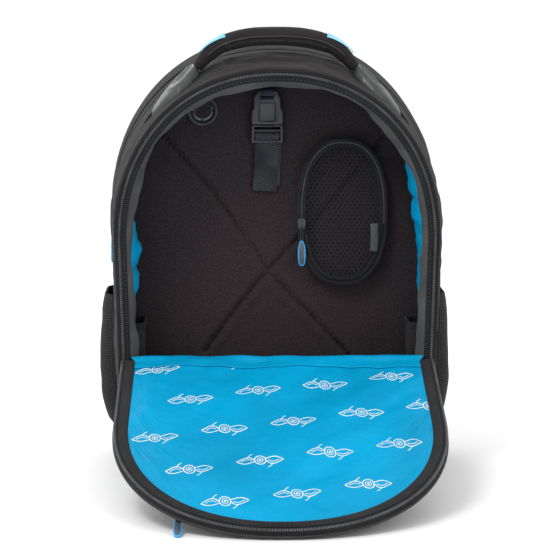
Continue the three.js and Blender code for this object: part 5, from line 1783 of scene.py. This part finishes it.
def make_back():
    for sign, name in ((1, "right"), (-1, "left")):
        lo, hi = low_high(f"back_pad_{name}")
        rows = (185 * MM, 262 * MM)

        def groove(_, z):
            return np.min([np.abs(z - row) for row in rows], axis=0)

        cushion(f"back_pad_mesh_{name}", lo[0], hi[0], lo[2], hi[2], lo[1], hi[1] - lo[1], 20 * MM,
                SPACER_MESH, "bag", [f"back_pad_{name}"], groove=groove)
        outline_stitches(f"back_pad_stitches_{name}", lo[0], hi[0], lo[2], hi[2], lo[1] + 4.2 * MM, 3.0 * MM,
                         "bag", 20 * MM)
        wlo, whi = low_high(f"strap_wedge_{name}")
        wedge = rounded_box(f"strap_wedge_cloth_{name}", wlo, whi, 1.6 * MM)
        modify(wedge, "SUBSURF", levels=1, subdivision_type="SIMPLE")
        finish_piece(wedge, SHELL_PLAIN, "bag", [f"strap_wedge_{name}"])
    lo, hi = low_high("lumbar_pad")
    cushion("lumbar_pad_mesh", lo[0], hi[0], lo[2], hi[2], lo[1], hi[1] - lo[1], 18 * MM, SPACER_MESH, "bag",
            ["lumbar_pad"])
    outline_stitches("lumbar_pad_stitches", lo[0], hi[0], lo[2], hi[2], lo[1] + 4.2 * MM, 3.0 * MM, "bag",
                     18 * MM)
    lo, hi = low_high("strap_yoke")
    cushion("strap_yoke_cloth", lo[0], hi[0], lo[2], hi[2], lo[1], hi[1] - lo[1], 6 * MM, SHELL, "bag",
            ["strap_yoke"])
    outline_stitches("strap_yoke_stitches", lo[0], hi[0], lo[2], hi[2], lo[1] + 4.4 * MM, 2.6 * MM, "bag",
                     6 * MM)
    for sign, name in ((1, "right"), (-1, "left")):
        make_shoulder_strap(sign, name)


def make_shoulder_strap(sign, name):
    body = f"shoulder_strap_{name}"
    start = BACK_FACE + 14 * MM
    low = np.array((sign * 112 * MM, start, 44 * MM))  # sewn to the lower wedge
    high = np.array((sign * 46 * MM, start, 372 * MM))  # sewn to the yoke
    stand_off = 26 * MM  # how far the middle bows out from the back
    length = np.linalg.norm(high - low)
    across = np.cross((high - low) / length, (0, 1, 0))

    def bow(from_share, to_share, count):
        s = np.linspace(from_share, to_share, count)
        p = low + (high - low) * s[:, None]
        p[:, 1] += stand_off * np.sin(math.pi * s)
        return p, s

    pad_from, pad_to = 0.3, 0.9
    line, s = bow(pad_from, pad_to, 80)
    _, side, up = frames(line, hint=(0, 1, 0))
    a = np.linspace(0, 2 * math.pi, 36, endpoint=False)
    ends = np.clip(np.minimum(s - pad_from, pad_to - s) / 0.05, 0.0, 1) ** 0.5
    wide = (21 * MM + 6.4 * MM * ends) * np.interp(s, [0.3, 0.45, 0.9], [0.86, 1.0, 0.98])
    thick = 3.2 * MM + 2.6 * MM * ends
    cu = np.sign(np.cos(a)) * np.abs(np.cos(a)) ** 0.6
    su = np.sign(np.sin(a)) * np.abs(np.sin(a)) ** 0.75
    p = (line[:, None] + side[:, None] * (cu[None] * wide[:, None])[..., None]
         + up[:, None] * (su[None] * thick[:, None])[..., None])
    pad = settle(grid(f"shoulder_padding_{name}", p, close_v=True, cap=True))
    finish_piece(pad, SPACER_MESH, body, [f"shoulder_pad_{name}"])
    for k, edge in ((1, 1), (2, -1)):
        seam = line[2:-2] + side[2:-2] * (wide[2:-2] * 0.985 * edge)[:, None]
        tube = rod(f"shoulder_binding_{name}_{k}", seam, 4.4 * MM, 5.4 * MM, hint=(0, 1, 0))
        finish_piece(tube, DARK_BINDING, body)
    web_line = line[6:-4] + up[6:-4] * (thick[6:-4] + 0.3 * MM)[:, None]
    top_web = strap(f"shoulder_face_webbing_{name}", web_line, 24 * MM, 1.6 * MM, (0, 1, 0))
    finish_piece(top_web, WEBBING, body)
    for k, share in enumerate((0.42, 0.62, 0.8)):
        at = int((share - 0.3) / 0.6 * 79)
        row = line[at] + up[at] * (thick[at] + 1.3 * MM) + side[at] * np.linspace(-11, 11, 16)[:, None] * MM
        stitches(f"shoulder_bar_stitches_{name}_{k + 1}", row, (0, 1, 0), THREAD, body, 1.8, 0.9, 0.5)
    for kind, a0, a1, count in (("top", 0.885, 0.985, 20), ("low", 0.015, 0.31, 60)):
        web, _ = bow(a0, a1, count)
        piece = strap(f"shoulder_{kind}_strap_{name}", web, 24.4 * MM, 2.0 * MM, (0, 1, 0))
        finish_piece(piece, WEBBING, body, [f"shoulder_{kind}_webbing_{name}"])
    make_adjuster(name, body, bow, across)
    roots = (("top", 0.985, 0.95, "strap_yoke", 46.6 * MM, 377 * MM),
             ("low", 0.015, 0.05, f"strap_wedge_{name}", 113.4 * MM, 33 * MM))
    for kind, outer, inner, sewn_to, x, z in roots:
        run, _ = bow(outer, inner, 4)
        root = (sign * x, low_high(sewn_to)[1][1] - 0.6 * MM, z)
        points = smooth(np.vstack([[root], run]), 24)
        piece = strap(f"shoulder_{kind}_root_{name}", points, 23.6 * MM, 1.5 * MM, (0, 1, 0))
        finish_piece(piece, WEBBING, None)
        tuple(run[0])
        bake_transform(piece)


def make_adjuster(name, body, bow, across):
    """A ladder with three slots where the lower webbing meets the pad."""
    ladder_line, _ = bow(0.222, 0.294, 3)
    centre = ladder_line[1]
    up = ladder_line[2] - ladder_line[0]
    tall = np.linalg.norm(up)
    m = frame_matrix(centre, -np.cross(up / tall, across), up)
    frame_plate = plate("ladder_plate", [(x * MM, z * MM) for x, z in (
        (-16.4, -11.4), (-14.8, -12.4), (14.8, -12.4), (16.4, -11.4), (15.8, 11.4), (14.4, 12.4),
        (-14.4, 12.4), (-15.8, 11.4))], -2.4 * MM, 2.4 * MM, 0.9 * MM)
    for low in (-9.0, -1.6, 5.6):
        cut_out(frame_plate, rounded_box("slot", (-12.8 * MM, -5 * MM, low * MM),
                                         (12.8 * MM, 5 * MM, (low + 3.4) * MM), 0.5 * MM))
    frame_plate = placed([frame_plate], m)
    frame_plate.name = f"shoulder_ladder_{name}"
    finish_piece(frame_plate, BUCKLE, body, [f"shoulder_adjuster_{name}"])


make_camera()
make_stage()
make_walls()
make_rear_zip()
make_lining()
make_rim()
make_divider()
make_base_and_front()
make_front_panel()
make_fold()
make_port()
make_pouch()
make_pockets()
make_handle()
make_anchors()
make_buckle()
make_sliders()
make_back()
